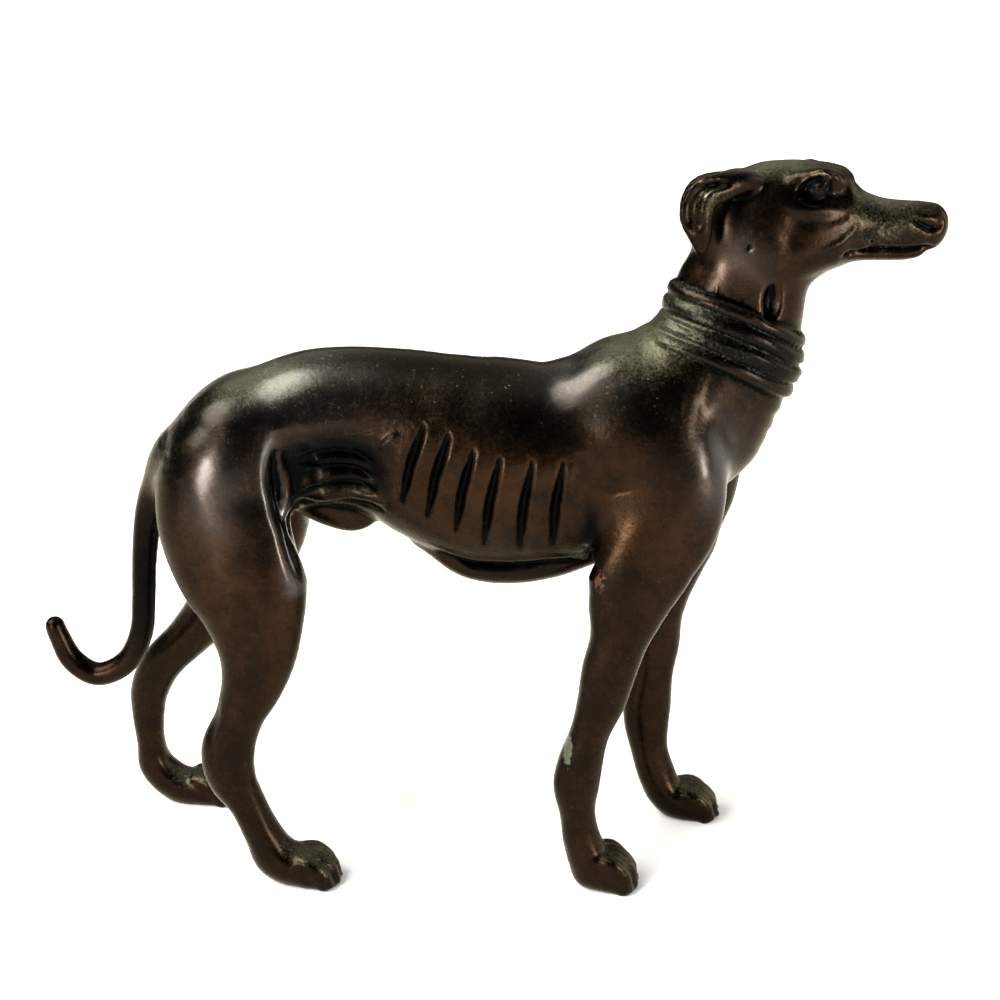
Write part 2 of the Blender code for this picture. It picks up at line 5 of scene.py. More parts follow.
import bmesh
import bpy
import numpy as np
from bpy.props import FloatProperty, FloatVectorProperty, IntProperty, PointerProperty
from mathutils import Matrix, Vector


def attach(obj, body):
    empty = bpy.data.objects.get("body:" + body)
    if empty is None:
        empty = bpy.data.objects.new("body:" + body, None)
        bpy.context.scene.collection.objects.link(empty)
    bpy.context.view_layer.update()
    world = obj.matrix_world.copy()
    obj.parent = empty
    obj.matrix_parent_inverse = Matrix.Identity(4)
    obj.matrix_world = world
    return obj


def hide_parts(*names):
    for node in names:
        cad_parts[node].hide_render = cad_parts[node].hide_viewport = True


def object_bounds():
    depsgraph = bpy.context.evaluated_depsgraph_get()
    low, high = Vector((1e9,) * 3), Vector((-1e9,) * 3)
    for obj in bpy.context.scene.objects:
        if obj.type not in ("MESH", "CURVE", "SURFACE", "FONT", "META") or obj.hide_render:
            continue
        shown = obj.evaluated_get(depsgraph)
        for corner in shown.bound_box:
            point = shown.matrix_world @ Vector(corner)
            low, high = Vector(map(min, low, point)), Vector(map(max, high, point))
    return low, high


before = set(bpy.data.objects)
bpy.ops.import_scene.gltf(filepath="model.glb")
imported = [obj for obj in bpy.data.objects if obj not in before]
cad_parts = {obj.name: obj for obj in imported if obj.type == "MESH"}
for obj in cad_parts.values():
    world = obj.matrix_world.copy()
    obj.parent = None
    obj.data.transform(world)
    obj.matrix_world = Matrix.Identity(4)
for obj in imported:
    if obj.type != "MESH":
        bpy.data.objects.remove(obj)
CAD_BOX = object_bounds()

bl_info = {
    "name": "Bronze Greyhound",
    "version": (1, 0, 0),
    "blender": (4, 5, 0),
    "location": "View3D > Sidebar > Greyhound",
    "description": "Builds a patinated bronze greyhound statue and its studio",
    "category": "Add Mesh",
}

# Meshing: the first coarse cell, and how far a rod is felt around it
BLOCK_CELL = 1.3
ROD_REACH = 7.0

# A distance beyond everything
FAR_AWAY = 1e3

# Stance, in the figure's own measures: how far each pair of paws stands from the middle, and the ground
FORE_TRACK = 13.4
HIND_TRACK = 14.8
GROUND = -0.6

# Paws: where the knuckles are, along and across, how far the toes reach and how high the knuckles stand
PAWS = (
    (-34.5, -HIND_TRACK, 4.7, 4.9),
    (-61.0, HIND_TRACK, 4.9, 4.9),
    (22.4, -FORE_TRACK, 4.7, 6.2),
    (39.8, FORE_TRACK + 0.4, 4.7, 5.4),
)
TOE_PLACES = (-1.5, -0.5, 0.5, 1.5)
TOE_GAP = 2.2
TOE_THICK = 1.35

# Collar: middle, half breadth and height of each ring and of each bead on them, up the neck's slope
RINGS = ((116.0, 1.25, 0.95), (113.2, 1.5, 1.05), (109.9, 1.75, 1.05), (106.9, 1.25, 0.8))
RING_BEADS = (
    (115.1, 0.4, 0.3),
    (112.2, 0.4, 0.35),
    (110.4, 0.35, 0.25),
    (108.7, 0.4, 0.35),
    (106.1, 0.35, 0.25),
)
RING_SLOPE = (0.375, 0.927)
RING_LIFT = 0.016
COLLAR_BACK = 26.5
COLLAR_FRONT = 60.0
COLLAR_MIDDLE = 111.5
COLLAR_HALF = 4.6

# Rib cuts in the flank: the top and the bottom of each, along and up
RIB_WIDTH = 0.78
RIB_LIP = 0.25
RIB_BOW = 0.5
RIBS = (
    ((-12.9, 90.2), (-17.5, 74.6)),
    ((-8.5, 89.0), (-12.9, 72.0)),
    ((-4.1, 86.4), (-7.7, 69.5)),
    ((0.6, 85.2), (-2.5, 66.9)),
    ((6.3, 84.7), (4.0, 66.4)),
    ((11.7, 84.5), (10.1, 67.2)),
)

# Folds of skin in the flank: how high each stands as a share of the fold height, and its line
FOLDS = (
    (0.6, ((-35.2, 80.6), (-32.5, 81.9), (-29.0, 82.4), (-25.6, 82.0), (-22.6, 80.2))),
    (1.0, ((-35.2, 75.8), (-32.6, 77.4), (-29.6, 78.6), (-26.0, 79.0), (-22.2, 77.9))),
    (0.85, ((-34.8, 72.9), (-31.5, 74.6), (-27.6, 75.4), (-23.6, 75.3), (-20.4, 74.2))),
)
FOLD_GAP = 1.7

# Front edge of the thigh, from the flank down, and the ridge in the pocket beside it
THIGH_RIM = (
    (-40.4, 88.6),
    (-40.2, 86.5),
    (-40.5, 82.8),
    (-40.2, 78.8),
    (-39.3, 74.4),
    (-38.0, 70.2),
    (-37.0, 65.2),
    (-35.8, 60.0),
)
POCKET_RIDGE = ((-38.6, 84.6), (-38.0, 80.6), (-37.0, 77.8), (-36.5, 74.7), (-36.3, 71.5))

# Pocket in the flank and its deep end beside the thigh: depth, spot and radius
POCKET = (1.9, (-28.6, 10.5, 80.6), (8.6, 6.0, 6.8))
POCKET_END = (1.5, (-36.0, 10.5, 80.0), (3.4, 6.0, 7.4))

# Steps of skin at the thigh's rim: depth, how far from the rim, and the width of the edge
RIM_STEPS = ((1.6, 0.6, 1.1), (0.8, -0.6, 2.4))
RIM_FALL = 4.0

# Groove over the keel, and the swell of skin above it
KEEL_GROOVE = ((-12.0, 64.4), (-4.7, 61.7), (2.0, 61.9), (9.0, 62.8), (16.5, 62.6))
KEEL_SWELL = ((-13.0, 66.2), (-4.7, 63.4), (2.0, 63.6), (9.0, 64.6), (16.5, 64.4))

# Lines of the face: the mouth, the nostril, the groove under the upper lid and the top of the cheek
MOUTH = ((61.4, 119.4), (64.5, 119.8), (68.0, 119.7), (71.4, 119.8), (74.2, 120.3))
NOSTRIL = ((69.6, 126.9), (70.2, 125.6), (71.7, 124.5), (73.5, 123.6), (74.9, 123.8), (75.4, 125.2))
LID = ((50.1, 129.9), (51.0, 131.0), (52.2, 131.9), (53.5, 132.3), (54.9, 131.8))
CHEEK = ((47.4, 127.4), (49.2, 126.1), (51.8, 125.4), (55.4, 125.4), (59.0, 126.2))

# Where the finish changes, and where shade and sheen are painted on: weight, spot and radius of each patch
# Dusty patches on the back, the head and the muzzle; on the withers and the rump they also paint a sheen
DUST_AND_SHEEN = (
    (0.9, (24.0, 0.0, 104.0), (13.0, 14.0, 9.0)),
    (0.8, (47.0, 0.0, 134.0), (9.0, 7.0, 4.0)),
    (0.7, (62.0, 0.0, 129.5), (9.0, 4.0, 2.6)),
    (0.7, (65.0, 0.0, 124.5), (9.0, 9.0, 5.0)),
    (0.75, (-44.0, 2.0, 97.0), (15.0, 13.0, 7.0)),
    (0.5, (35.5, 10.0, 128.0), (4.5, 3.0, 5.0)),
)
RUBBED = (
    (0.6, (-44.0, 12.0, 62.0), (12.0, 12.0, 18.0)),
    (0.4, (28.0, 13.0, 74.0), (9.0, 8.0, 9.0)),
    (0.6, (2.0, 14.0, 76.0), (18.0, 8.0, 9.0)),
    (0.4, (42.0, 8.0, 116.0), (8.0, 8.0, 7.0)),
)
POLISHED = (
    (1.0, (-49.0, 15.0, 79.0), (4.5, 8.0, 8.0)),
    (1.0, (41.0, 13.5, 83.5), (5.0, 6.0, 8.0)),
    (0.9, (-36.0, 6.0, 97.0), (12.0, 12.0, 8.0)),
    (0.5, (41.0, 7.5, 117.5), (4.0, 5.0, 5.0)),
    (0.8, (14.0, 8.0, 98.0), (8.0, 8.0, 6.0)),
)
# Painted shade: darker patches in the flank pocket, over the keel, under the elbow, in the eye socket, high
# on the flank and down the tail
PAINTED_SHADE_PATCHES = (
    (1.1, (-29.5, 10.0, 82.5), (10.0, 6.0, 7.0)),
    (0.6, (4.0, 8.0, 61.0), (16.0, 5.0, 2.6)),
    (0.8, (15.6, 11.0, 66.0), (2.6, 6.0, 4.0)),
    (0.5, (53.4, 6.5, 130.2), (3.4, 4.0, 2.2)),
    (0.5, (8.0, 12.0, 90.0), (12.0, 8.0, 6.0)),
    (1.0, (-67.0, 0.0, 56.0), (8.0, 6.0, 24.0)),
    (0.4, (-8.0, 12.0, 94.0), (20.0, 8.0, 4.0)),
)
HANDLED = ((1.0, (-34.0, 10.0, 88.0), (26.0, 20.0, 16.0)),)
SCRAPED = ((1.3, (18.4, -14.6, 62.4), (1.3, 4.0, 1.9)),)
CHIPPED = ((1.3, (13.2, -15.2, 29.2), (0.9, 3.0, 3.2)),)

# Far lights: bearing, height and breadth in degrees
FAR_LIGHTS = {
    "window": (-66.0, 48.0, 46.0),
    "overhead": (165.0, 66.0, 90.0),
    "bounce": (98.0, 12.0, 50.0),
}

# Panels: bearing and height in degrees, size in metres and share of the panels' power
PANELS = {
    "left panel": (-34.0, 8.0, (0.09, 0.13), 0.5),
    "right panel": (50.0, 4.0, (0.08, 0.14), 0.55),
}
PANEL_REACH = 0.6
PANEL_AIM = (0.0, 0.0, 0.08)
FLOOR_SIZE = 40.0
SENSOR = 36.0

# Limbs: along, across and up, then the front, back and side radius of each row
TRUNK = (
    (-56.5, 0, 78.0, 6.9, 9.0, 8.0),
    (-52.0, 0, 80.5, 10.7, 12.0, 10.8),
    (-46.5, 0, 82.5, 12.8, 13.0, 12.4),
    (-40.0, 0, 84.5, 13.6, 13.5, 12.4),
    (-33.0, 0, 86.3, 14.2, 15.0, 11.2),
    (-26.0, 0, 87.0, 14.0, 16.2, 10.6),
    (-19.0, 0, 86.0, 14.9, 17.6, 11.2),
    (-12.0, 0, 84.0, 16.4, 19.4, 12.5),
    (-5.0, 0, 82.0, 17.8, 20.6, 13.6),
    (2.0, 0, 81.0, 18.1, 20.6, 14.1),
    (9.0, 0, 81.0, 17.6, 20.0, 14.0),
    (16.0, 0, 82.5, 17.4, 19.0, 13.4),
    (23.0, 0, 85.0, 16.6, 18.0, 12.4),
    (30.0, 0, 87.0, 15.0, 17.0, 11.3),
    (34.2, 0, 86.4, 12.5, 14.2, 8.7),
)

KEEL = (
    (-14.0, 0, 64.6, 2.6, 2.0, 3.0),
    (-6.5, 0, 61.0, 3.4, 3.4, 5.0),
    (1.0, 0, 60.0, 3.4, 3.6, 5.6),
    (9.0, 0, 61.2, 3.4, 3.6, 5.6),
    (16.0, 0, 63.4, 3.4, 3.2, 5.0),
    (24.0, 0, 67.5, 3.4, 3.2, 4.6),
)

SHEATH = (
    (-37.0, 0, 71.6, 2.4, 2.4, 2.2),
    (-32.0, 0, 70.2, 2.6, 3.4, 2.6),
    (-27.2, 0, 69.8, 2.4, 3.8, 2.5),
    (-22.6, 0, 71.6, 2.0, 2.4, 2.0),
)

NECK = (
    (24.0, 0, 87.0, 13.2, 15.0, 11.0),
    (33.0, 0, 95.0, 12.6, 18.4, 10.4),
    (39.4, 0, 101.4, 11.9, 14.1, 9.3),
    (42.0, 0, 108.4, 12.6, 11.4, 8.5),
    (42.8, 0, 114.0, 11.6, 10.8, 8.0),
    (43.4, 0, 119.5, 9.2, 10.2, 7.6),
)

HEAD = (
    (40.6, 0, 125.0, 8.2, 7.5, 7.0),
    (44.5, 0, 124.6, 9.9, 9.6, 8.0),
    (49.3, 0, 124.0, 10.7, 9.4, 8.3),
    (54.4, 0, 124.0, 10.5, 9.2, 7.5),
    (57.5, 0, 124.0, 10.0, 8.1, 6.6),
    (59.3, 0, 124.0, 9.2, 7.4, 6.0),
    (60.6, 0, 124.0, 7.1, 6.8, 5.6),
    (62.4, 0, 124.0, 5.5, 6.5, 5.1),
    (65.5, 0, 124.0, 4.4, 6.4, 4.5),
    (69.5, 0, 124.0, 4.0, 6.3, 4.0),
    (72.2, 0, 124.0, 3.9, 5.8, 3.7),
    (73.7, 0, 124.0, 3.7, 4.5, 3.3),
)

BROW = (
    (50.4, -5.2, 132.0, 1.3, 1.3, 1.3),
    (53.8, -5.9, 132.9, 1.3, 1.3, 1.3),
    (56.4, -5.0, 132.0, 1.2, 1.2, 1.2),
)

EYE = (
    (53.5, -6.0, 130.9, 1.5, 1.5, 1.5),
    (53.9, -6.0, 130.7, 1.5, 1.5, 1.5),
)

JAW = (
    (46.0, -5.0, 119.4, 3.0, 3.0, 2.6),
    (51.5, -4.7, 119.8, 3.2, 3.2, 2.6),
    (56.5, -3.8, 120.2, 2.2, 2.2, 2.0),
)

EAR = (
    (44.0, -4.6, 130.6, 1.8, 1.8, 1.4),
    (41.0, -6.8, 131.5, 2.1, 2.1, 1.6),
    (37.2, -8.4, 130.9, 2.6, 2.6, 1.8),
    (34.3, -9.4, 129.6, 2.8, 3.0, 1.8),
    (33.3, -9.6, 126.6, 2.8, 3.1, 1.8),
    (33.9, -9.4, 123.2, 2.2, 2.2, 1.6),
    (34.2, -8.9, 120.9, 1.3, 1.3, 1.2),
)
EAR_CUP = ((38.8, 131.9), (35.6, 131.8), (33.4, 130.8), (32.2, 128.6), (32.2, 126.2), (33.2, 123.6))
FAR_EAR_DROP = (1.2, -1.8)

TAIL = (
    (-53.0, 0, 84.6, 7.6, 6.0, 9.0),
    (-59.2, 0, 81.0, 5.6, 4.8, 6.6),
    (-63.3, 0, 75.4, 4.6, 3.3, 4.4),
    (-66.2, 0, 68.8, 2.9, 2.6, 2.8),
    (-67.7, 0, 60.0, 2.35, 2.35, 2.35),
    (-68.5, 0, 51.5, 2.3, 2.3, 2.3),
    (-69.6, 0, 44.0, 2.3, 2.3, 2.3),
    (-73.0, 0, 37.8, 2.3, 2.3, 2.3),
    (-78.8, 0, 35.0, 2.3, 2.3, 2.3),
    (-83.5, 0, 37.9, 2.25, 2.25, 2.25),
    (-85.8, 0, 43.2, 2.0, 2.0, 2.0),
    (-86.4, 0, 45.2, 1.9, 1.9, 1.9),
)

# Near legs, from the hip and the shoulder down to the paw
NEAR_HIND = (
    (-48.5, -5.0, 86.0, 7.5, 7.5, 7.6),
    (-49.6, -7.0, 80.0, 9.6, 11.0, 8.0),
    (-49.2, -8.6, 73.0, 11.6, 13.2, 7.8),
    (-47.2, -10.0, 66.5, 11.6, 13.6, 7.2),
    (-45.8, -11.4, 60.0, 11.4, 12.2, 6.5),
    (-44.6, -12.4, 53.3, 9.7, 9.4, 5.7),
    (-44.2, -13.2, 46.4, 7.5, 7.2, 5.0),
    (-45.4, -13.8, 40.0, 5.8, 5.7, 4.4),
    (-47.9, -14.2, 33.8, 4.5, 4.7, 3.9),
    (-50.5, -14.6, 27.2, 5.2, 4.9, 3.7),
    (-50.1, -14.8, 21.4, 4.8, 4.5, 3.3),
    (-47.6, -14.8, 16.0, 3.9, 3.3, 3.1),
    (-44.8, -14.8, 10.0, 3.6, 3.6, 3.5),
    (-41.4, -14.8, 5.0, 3.5, 5.2, 4.0),
    (-36.8, -14.8, 2.9, 3.4, 4.0, 4.3),
)

FAR_HIND = (
    (-48.5, 5.0, 86.0, 7.5, 7.5, 7.6),
    (-49.6, 7.0, 80.0, 9.6, 11.0, 8.0),
    (-49.6, 8.6, 73.0, 11.8, 12.0, 7.8),
    (-49.0, 10.0, 66.5, 11.6, 11.8, 7.2),
    (-50.4, 11.4, 59.0, 10.2, 10.0, 6.5),
    (-54.2, 12.4, 51.4, 7.8, 7.0, 5.6),
    (-59.0, 13.2, 44.4, 6.3, 4.9, 4.9),
    (-64.6, 13.8, 37.6, 5.0, 3.9, 4.2),
    (-70.2, 14.2, 31.4, 4.5, 3.9, 3.8),
    (-73.5, 14.6, 25.4, 4.3, 3.6, 3.6),
    (-74.3, 14.8, 19.4, 3.6, 3.1, 3.2),
    (-74.0, 14.8, 13.0, 2.9, 2.9, 3.1),
    (-72.3, 14.8, 7.8, 2.5, 4.8, 3.5),
    (-68.2, 14.8, 3.8, 2.7, 5.0, 4.1),
    (-63.5, 14.8, 2.8, 3.0, 4.0, 4.3),
)

NEAR_FORE = (
    (19.0, -5.0, 96.0, 6.5, 7.0, 4.6),
    (25.0, -8.0, 88.5, 9.0, 9.0, 5.4),
    (30.4, -9.6, 80.5, 9.6, 9.6, 5.4),
    (29.6, -10.6, 73.0, 10.0, 10.0, 5.2),
    (26.8, -11.4, 66.5, 9.2, 9.2, 4.9),
    (24.9, -12.0, 61.6, 8.5, 8.8, 4.7),
    (23.4, -12.4, 55.9, 6.8, 7.2, 4.5),
    (21.9, -12.6, 50.0, 5.4, 5.2, 4.1),
    (20.4, -12.8, 44.0, 5.0, 5.0, 3.9),
    (19.1, -13.0, 38.0, 4.5, 4.4, 3.7),
    (17.4, -13.1, 31.6, 3.5, 3.9, 3.3),
    (15.6, -13.2, 25.3, 4.2, 4.3, 3.5),
    (14.7, -13.3, 20.5, 4.5, 4.1, 3.5),
    (15.0, -13.4, 15.0, 3.6, 3.1, 3.0),
    (16.0, -13.4, 9.4, 3.8, 3.5, 3.5),
    (18.2, -13.4, 5.2, 3.8, 4.6, 4.1),
    (21.0, -13.4, 3.6, 4.0, 4.0, 4.3),
)

FAR_FORE = (
    (19.0, 5.0, 96.0, 6.5, 7.0, 4.6),
    (27.5, 8.0, 88.5, 9.0, 9.0, 5.4),
    (35.2, 9.6, 80.5, 9.0, 9.8, 5.4),
    (35.6, 10.6, 73.0, 8.9, 9.8, 5.2),
    (34.0, 11.4, 66.5, 8.4, 8.8, 4.9),
    (32.9, 12.0, 60.7, 8.2, 7.8, 4.7),
    (32.1, 12.4, 54.8, 6.6, 6.6, 4.5),
    (31.3, 12.8, 49.5, 5.3, 5.3, 4.1),
    (30.4, 13.2, 44.2, 5.0, 5.0, 3.9),
    (30.0, 13.4, 38.2, 5.1, 4.8, 3.7),
    (29.7, 13.6, 31.5, 4.3, 4.1, 3.3),
    (28.9, 13.7, 25.0, 5.0, 4.6, 3.5),
    (28.6, 13.8, 20.0, 5.0, 4.1, 3.5),
    (29.2, 13.8, 14.4, 4.4, 3.2, 3.1),
    (31.0, 13.8, 8.8, 4.3, 3.4, 3.4),
    (33.8, 13.8, 4.6, 3.6, 4.1, 4.1),
    (37.2, 13.8, 3.1, 3.2, 4.0, 4.3),
)


def held(values):
    """The values, kept between 0 and 1."""
    return np.clip(values, 0.0, 1.0)


def smooth_path(rows, steps):
    """Rows of a smooth line through the given rows, with so many steps to a gap."""
    rows = np.asarray(rows, float)
    ends = np.vstack([2 * rows[0] - rows[1], rows, 2 * rows[-1] - rows[-2]])
    line = []
    for before, here, after, beyond in zip(ends, ends[1:], ends[2:], ends[3:]):
        for t in np.arange(steps) / steps:
            line.append(
                here
                + 0.5 * t * (after - before)
                + 0.5 * t**2 * (2 * before - 5 * here + 4 * after - beyond)
                + 0.5 * t**3 * (3 * here - before - 3 * after + beyond)
            )
    line.append(rows[-1])
    return np.array(line)


class Limb:
    """A tapering, oval-sectioned rod through the given rows, and how smoothly it blends into the others."""

    def __init__(self, rows, blend, steps=5):
        path = smooth_path(rows, steps).astype(np.float32)
        self.centre = path[:, :3]
        self.radius = np.maximum(path[:, 3:], 0.2)
        self.blend = blend
        self.run = np.diff(self.centre, axis=0)
        along = np.gradient(self.centre, axis=0)
        along /= np.linalg.norm(along, axis=1, keepdims=True)
        side = np.array([0.0, 1.0, 0.0]) - along * along[:, 1:2]
        side /= np.linalg.norm(side, axis=1, keepdims=True)
        self.frame = np.stack([np.cross(along, side), side, along], axis=2).astype(np.float32)
        reach = self.radius.max() + ROD_REACH
        self.low = self.centre.min(axis=0) - reach
        self.high = self.centre.max(axis=0) + reach

    def distance(self, points):
        """How far the points stand outside the rod, for those near it."""
        found = np.full(len(points), FAR_AWAY, np.float32)
        near = ((points > self.low) & (points < self.high)).all(axis=1)
        chosen = points[near]
        closest = np.full(len(chosen), np.inf, np.float32)
        place = np.zeros(len(chosen), np.float32)
        step = np.zeros(len(chosen), int)
        for i, run in enumerate(self.run):
            offset = chosen - self.centre[i]
            t = held(offset @ run / (run @ run))
            away = ((offset - t[:, None] * run) ** 2).sum(axis=1)
            closer = away < closest
            closest[closer] = away[closer]
            place[closer] = t[closer]
            step[closer] = i
        t = place[:, None]
        offset = chosen - self.centre[step] - t * self.run[step]
        radius = self.radius[step] * (1 - t) + self.radius[step + 1] * t
        turn = self.frame[step] * (1 - t[:, :, None]) + self.frame[step + 1] * t[:, :, None]
        ahead, beside, beyond = np.einsum("ni,nij->jn", offset, turn)
        front = np.where(ahead > 0, radius[:, 0], radius[:, 1])
        side = radius[:, 2]
        share = np.sqrt((ahead / front) ** 2 + (beside**2 + beyond**2) / side**2)
        steep = np.sqrt((ahead / front**2) ** 2 + (beside**2 + beyond**2) / side**4)
        found[near] = share * (share - 1) / np.maximum(steep, 1e-6)
        return found

    def beads(self):
        """A ball for each step of the rod, to block it out."""
        for spot, radius, turn in zip(self.centre, self.radius, self.frame):
            tall = (radius[0] + radius[1]) / 2
            middle = spot + turn[:, 0] * (radius[0] - radius[1]) / 2
            yield turn * (tall, radius[2], radius[2]), middle


def mirrored(rows):
    """The same rows on the other side."""
    return [(row[0], -row[1], *row[2:]) for row in rows]


def far_ear():
    """The ear on the other side, which hangs a little lower and further forward."""
    ahead, down = FAR_EAR_DROP
    return [(row[0] + ahead, -row[1], row[2] + down, *row[3:]) for row in EAR]


def paw(x, y, toe, rise):
    """The pad, toes and claws of one paw, from its knuckles at x to the toe tips."""
    ball = GROUND + 1.6
    limbs = [Limb([(x - 4.5, y, ball + 1.2, 2.6, 3.0, 3.4), (x + toe - 4.2, y, ball, 2.0, 2.4, 4.2)], 1.4)]
    for place in TOE_PLACES:
        across = y + place * TOE_GAP
        ahead = x + toe - 0.55 * place**2
        knuckle = GROUND + rise
        rows = (
            (x - 3.6, y + place * TOE_GAP * 0.7, knuckle + 0.6, 1.5, 1.8, TOE_THICK),
            (ahead - 4.3, across, knuckle, 1.9, 2.2, TOE_THICK),
            (ahead - 2.1, across, GROUND + rise * 0.55, 2.0, 2.0, TOE_THICK),
            (ahead - 1.6, across, GROUND + 0.9, 1.3, 1.5, TOE_THICK * 0.8),
        )
        limbs.append(Limb(rows, 0.35, steps=3))
        claw = (
            (ahead - 1.2, across, GROUND + rise * 0.42, 0.6, 0.6, 0.6),
            (ahead - 0.1, across, GROUND + rise * 0.24, 0.5, 0.5, 0.5),
            (ahead + 0.1, across, GROUND + 0.45, 0.35, 0.35, 0.35),
        )
        limbs.append(Limb(claw, 0.25, steps=2))
    return limbs


def figure():
    """Every limb of the greyhound, the trunk first."""
    limbs = [
        Limb(TRUNK, 0.0),
        Limb(NECK, 7.0),
        Limb(NEAR_HIND, 5.0),
        Limb(FAR_HIND, 5.0),
        Limb(NEAR_FORE, 4.0),
        Limb(FAR_FORE, 4.0),
        Limb(KEEL, 1.6),
        Limb(SHEATH, 1.6),
        Limb(TAIL, 3.0),
        Limb(HEAD, 4.0),
    ]
    for flip in (list, mirrored):
        limbs.append(Limb(flip(JAW), 2.5))
        limbs.append(Limb(flip(BROW), 2.0))
        limbs.append(Limb(flip(EYE), 0.3))
    limbs.append(Limb(EAR, 0.9))
    limbs.append(Limb(far_ear(), 0.9))
    for row in PAWS:
        limbs += paw(*row)
    return limbs


def form(points, limbs):
    """How far the points stand outside the blended figure."""
    total = np.full(len(points), FAR_AWAY, np.float32)
    for limb in limbs:
        other = limb.distance(points)
        if limb.blend:
            share = np.clip(1 - np.abs(total - other) / limb.blend, 0, None)
            total = np.minimum(total, other) - share**2 * limb.blend / 4
        else:
            total = np.minimum(total, other)
    return total


def nearness(points, line):
    """From the side: the distance to a line, the side of it, and the share of it passed."""
    flat = points[:, [0, 2]]
    line = np.asarray(line, float)
    lengths = np.linalg.norm(np.diff(line, axis=0), axis=1)
    best = np.full(len(points), FAR_AWAY)
    place = np.zeros(len(points))
    hand = np.zeros(len(points))
    passed = 0.0
    for start, end, length in zip(line, line[1:], lengths):
        run = end - start
        offset = flat - start
        t = held(offset @ run / (run @ run))
        away = np.linalg.norm(offset - t[:, None] * run, axis=1)
        closer = away < best
        best = np.where(closer, away, best)
        place = np.where(closer, (passed + t * length) / lengths.sum(), place)
        hand = np.where(closer, np.sign(run[0] * offset[:, 1] - run[1] * offset[:, 0]), hand)
        passed += length
    return best, hand, place


def tapered(place, fade):
    """A weight of 1 along a line, fading out over a share of it at each end."""
    return held(np.minimum(place, 1.0 - place) / fade)


def cut(points, line, width, depth, fade=0.35, inner=3.0, lip=0.0):
    """Depth of a carved groove on both flanks that tapers to its ends, with a raised lip along one side."""
    away, hand, place = nearness(points, line)
    ends = tapered(place, fade)
    spread = np.exp(-((away / (width * (0.45 + 0.55 * ends))) ** 2))
    raised = np.exp(-(((away * hand - 1.9 * width) / (1.1 * width)) ** 2))
    shown = held((np.abs(points[:, 1]) - inner) / 0.8)
    return (depth * spread - lip * raised) * np.sqrt(ends) * shown


def apart_from(points, spot, radius, sides):
    """Squared distance from a spot in shares of its radius, on both sides or on that one alone."""
    y = np.abs(points[:, 1]) if sides else points[:, 1]
    offset = np.column_stack([points[:, 0], y, points[:, 2]]) - spot
    return ((offset / radius) ** 2).sum(axis=1)


def bump(points, spot, radius, sides=True):
    """A round weight of 1 at the spot."""
    return np.exp(-apart_from(points, spot, radius, sides))


def basin(points, spot, radius):
    """Like a bump, but level inside and steep at its edge."""
    return np.exp(-(apart_from(points, spot, radius, True) ** 2))


def patches(points, rows, sides=True):
    """The sum of weighted bumps."""
    return sum(weight * bump(points, spot, radius, sides) for weight, spot, radius in rows)


def unevenness(points, wave, seed):
    """A gentle wandering height about 1 high, from waves in many directions."""
    chance = np.random.default_rng(seed)
    turns = chance.normal(size=(14, 3))
    turns /= np.linalg.norm(turns, axis=1, keepdims=True)
    reach = 2 * math.pi / wave * chance.uniform(0.6, 1.5, 14)
    phase = chance.uniform(0, 2 * math.pi, 14)
    return np.sin(points @ (turns * reach[:, None]).T + phase).mean(axis=1) * 2.5


def collar_place(points):
    """Height up the slope of the collar, and a weight of 1 where the collar is."""
    height = points[:, 0] * RING_SLOPE[0] + points[:, 2] * RING_SLOPE[1] - RING_LIFT * points[:, 1] ** 2
    around = held((points[:, 0] - COLLAR_BACK) / 3.0) * (points[:, 0] < COLLAR_FRONT)
    return height, around


def rings(points):
    """How far the collar's rings and the beads on them stand out of the neck."""
    height, around = collar_place(points)
    height = height + 0.12 * unevenness(points, 9.0, 5)
    out = np.zeros(len(points))
    for middle, half, size in RINGS:
        share = np.clip(1.0 - ((height - middle) / half) ** 2, 0.0, None)
        out = np.maximum(out, size * share**0.75)
    for middle, half, size in RING_BEADS:
        out += size * np.exp(-(((height - middle) / half) ** 2))
    return out * around


def shelf(points, line, edge, reach):
    """A weight that steps up just past a line, on its left as it runs, and dies away over a reach."""
    away, hand, place = nearness(points, line)
    past = away * hand
    step = held(past / edge + 0.5)
    ends = tapered(place, 0.3)
    fall = np.exp(-((np.maximum(past, 0.0) / reach) ** 2))
    return step**2 * (3 - 2 * step) * fall * ends * (np.abs(points[:, 1]) > 4)


def flank(points, rib_depth, fold_depth):
    """Depth of the rib cuts, the pocket in front of the thigh, its folds and the groove over the keel."""
    depth = np.zeros(len(points))
    for top, bottom in RIBS:
        middle = ((top[0] + bottom[0]) / 2 - RIB_BOW, (top[1] + bottom[1]) / 2)
        depth += cut(points, (top, middle, bottom), RIB_WIDTH, rib_depth, lip=RIB_LIP)
    depth += POCKET[0] * basin(points, *POCKET[1:])
    for share, fold in FOLDS:
        depth -= cut(points, fold, 1.0, share * fold_depth, fade=0.25)
        depth += cut(points, np.array(fold) - (0.0, FOLD_GAP), 0.6, 0.8 * share * fold_depth, fade=0.2)
    depth += cut(points, np.array(FOLDS[0][1]) + (0.0, FOLD_GAP), 0.7, 0.5 * fold_depth, fade=0.3)
    depth -= cut(points, ((-21.0, 85.2), (-19.4, 86.6), (-17.4, 88.1)), 0.6, 0.55, fade=0.3)
    for drop, along, edge in RIM_STEPS:
        depth += drop * shelf(points, np.array(THIGH_RIM) + (along, 0.0), edge, RIM_FALL)
    depth += POCKET_END[0] * basin(points, *POCKET_END[1:])
    depth -= cut(points, np.array(THIGH_RIM) - (1.0, 0.0), 1.4, 0.3)
    depth -= cut(points, POCKET_RIDGE, 0.95, 1.2, fade=0.3)
    depth += cut(points, KEEL_GROOVE, 0.75, 1.0, inner=3.5)
    depth -= cut(points, KEEL_SWELL, 0.7, 0.4, inner=3.5)
    return depth


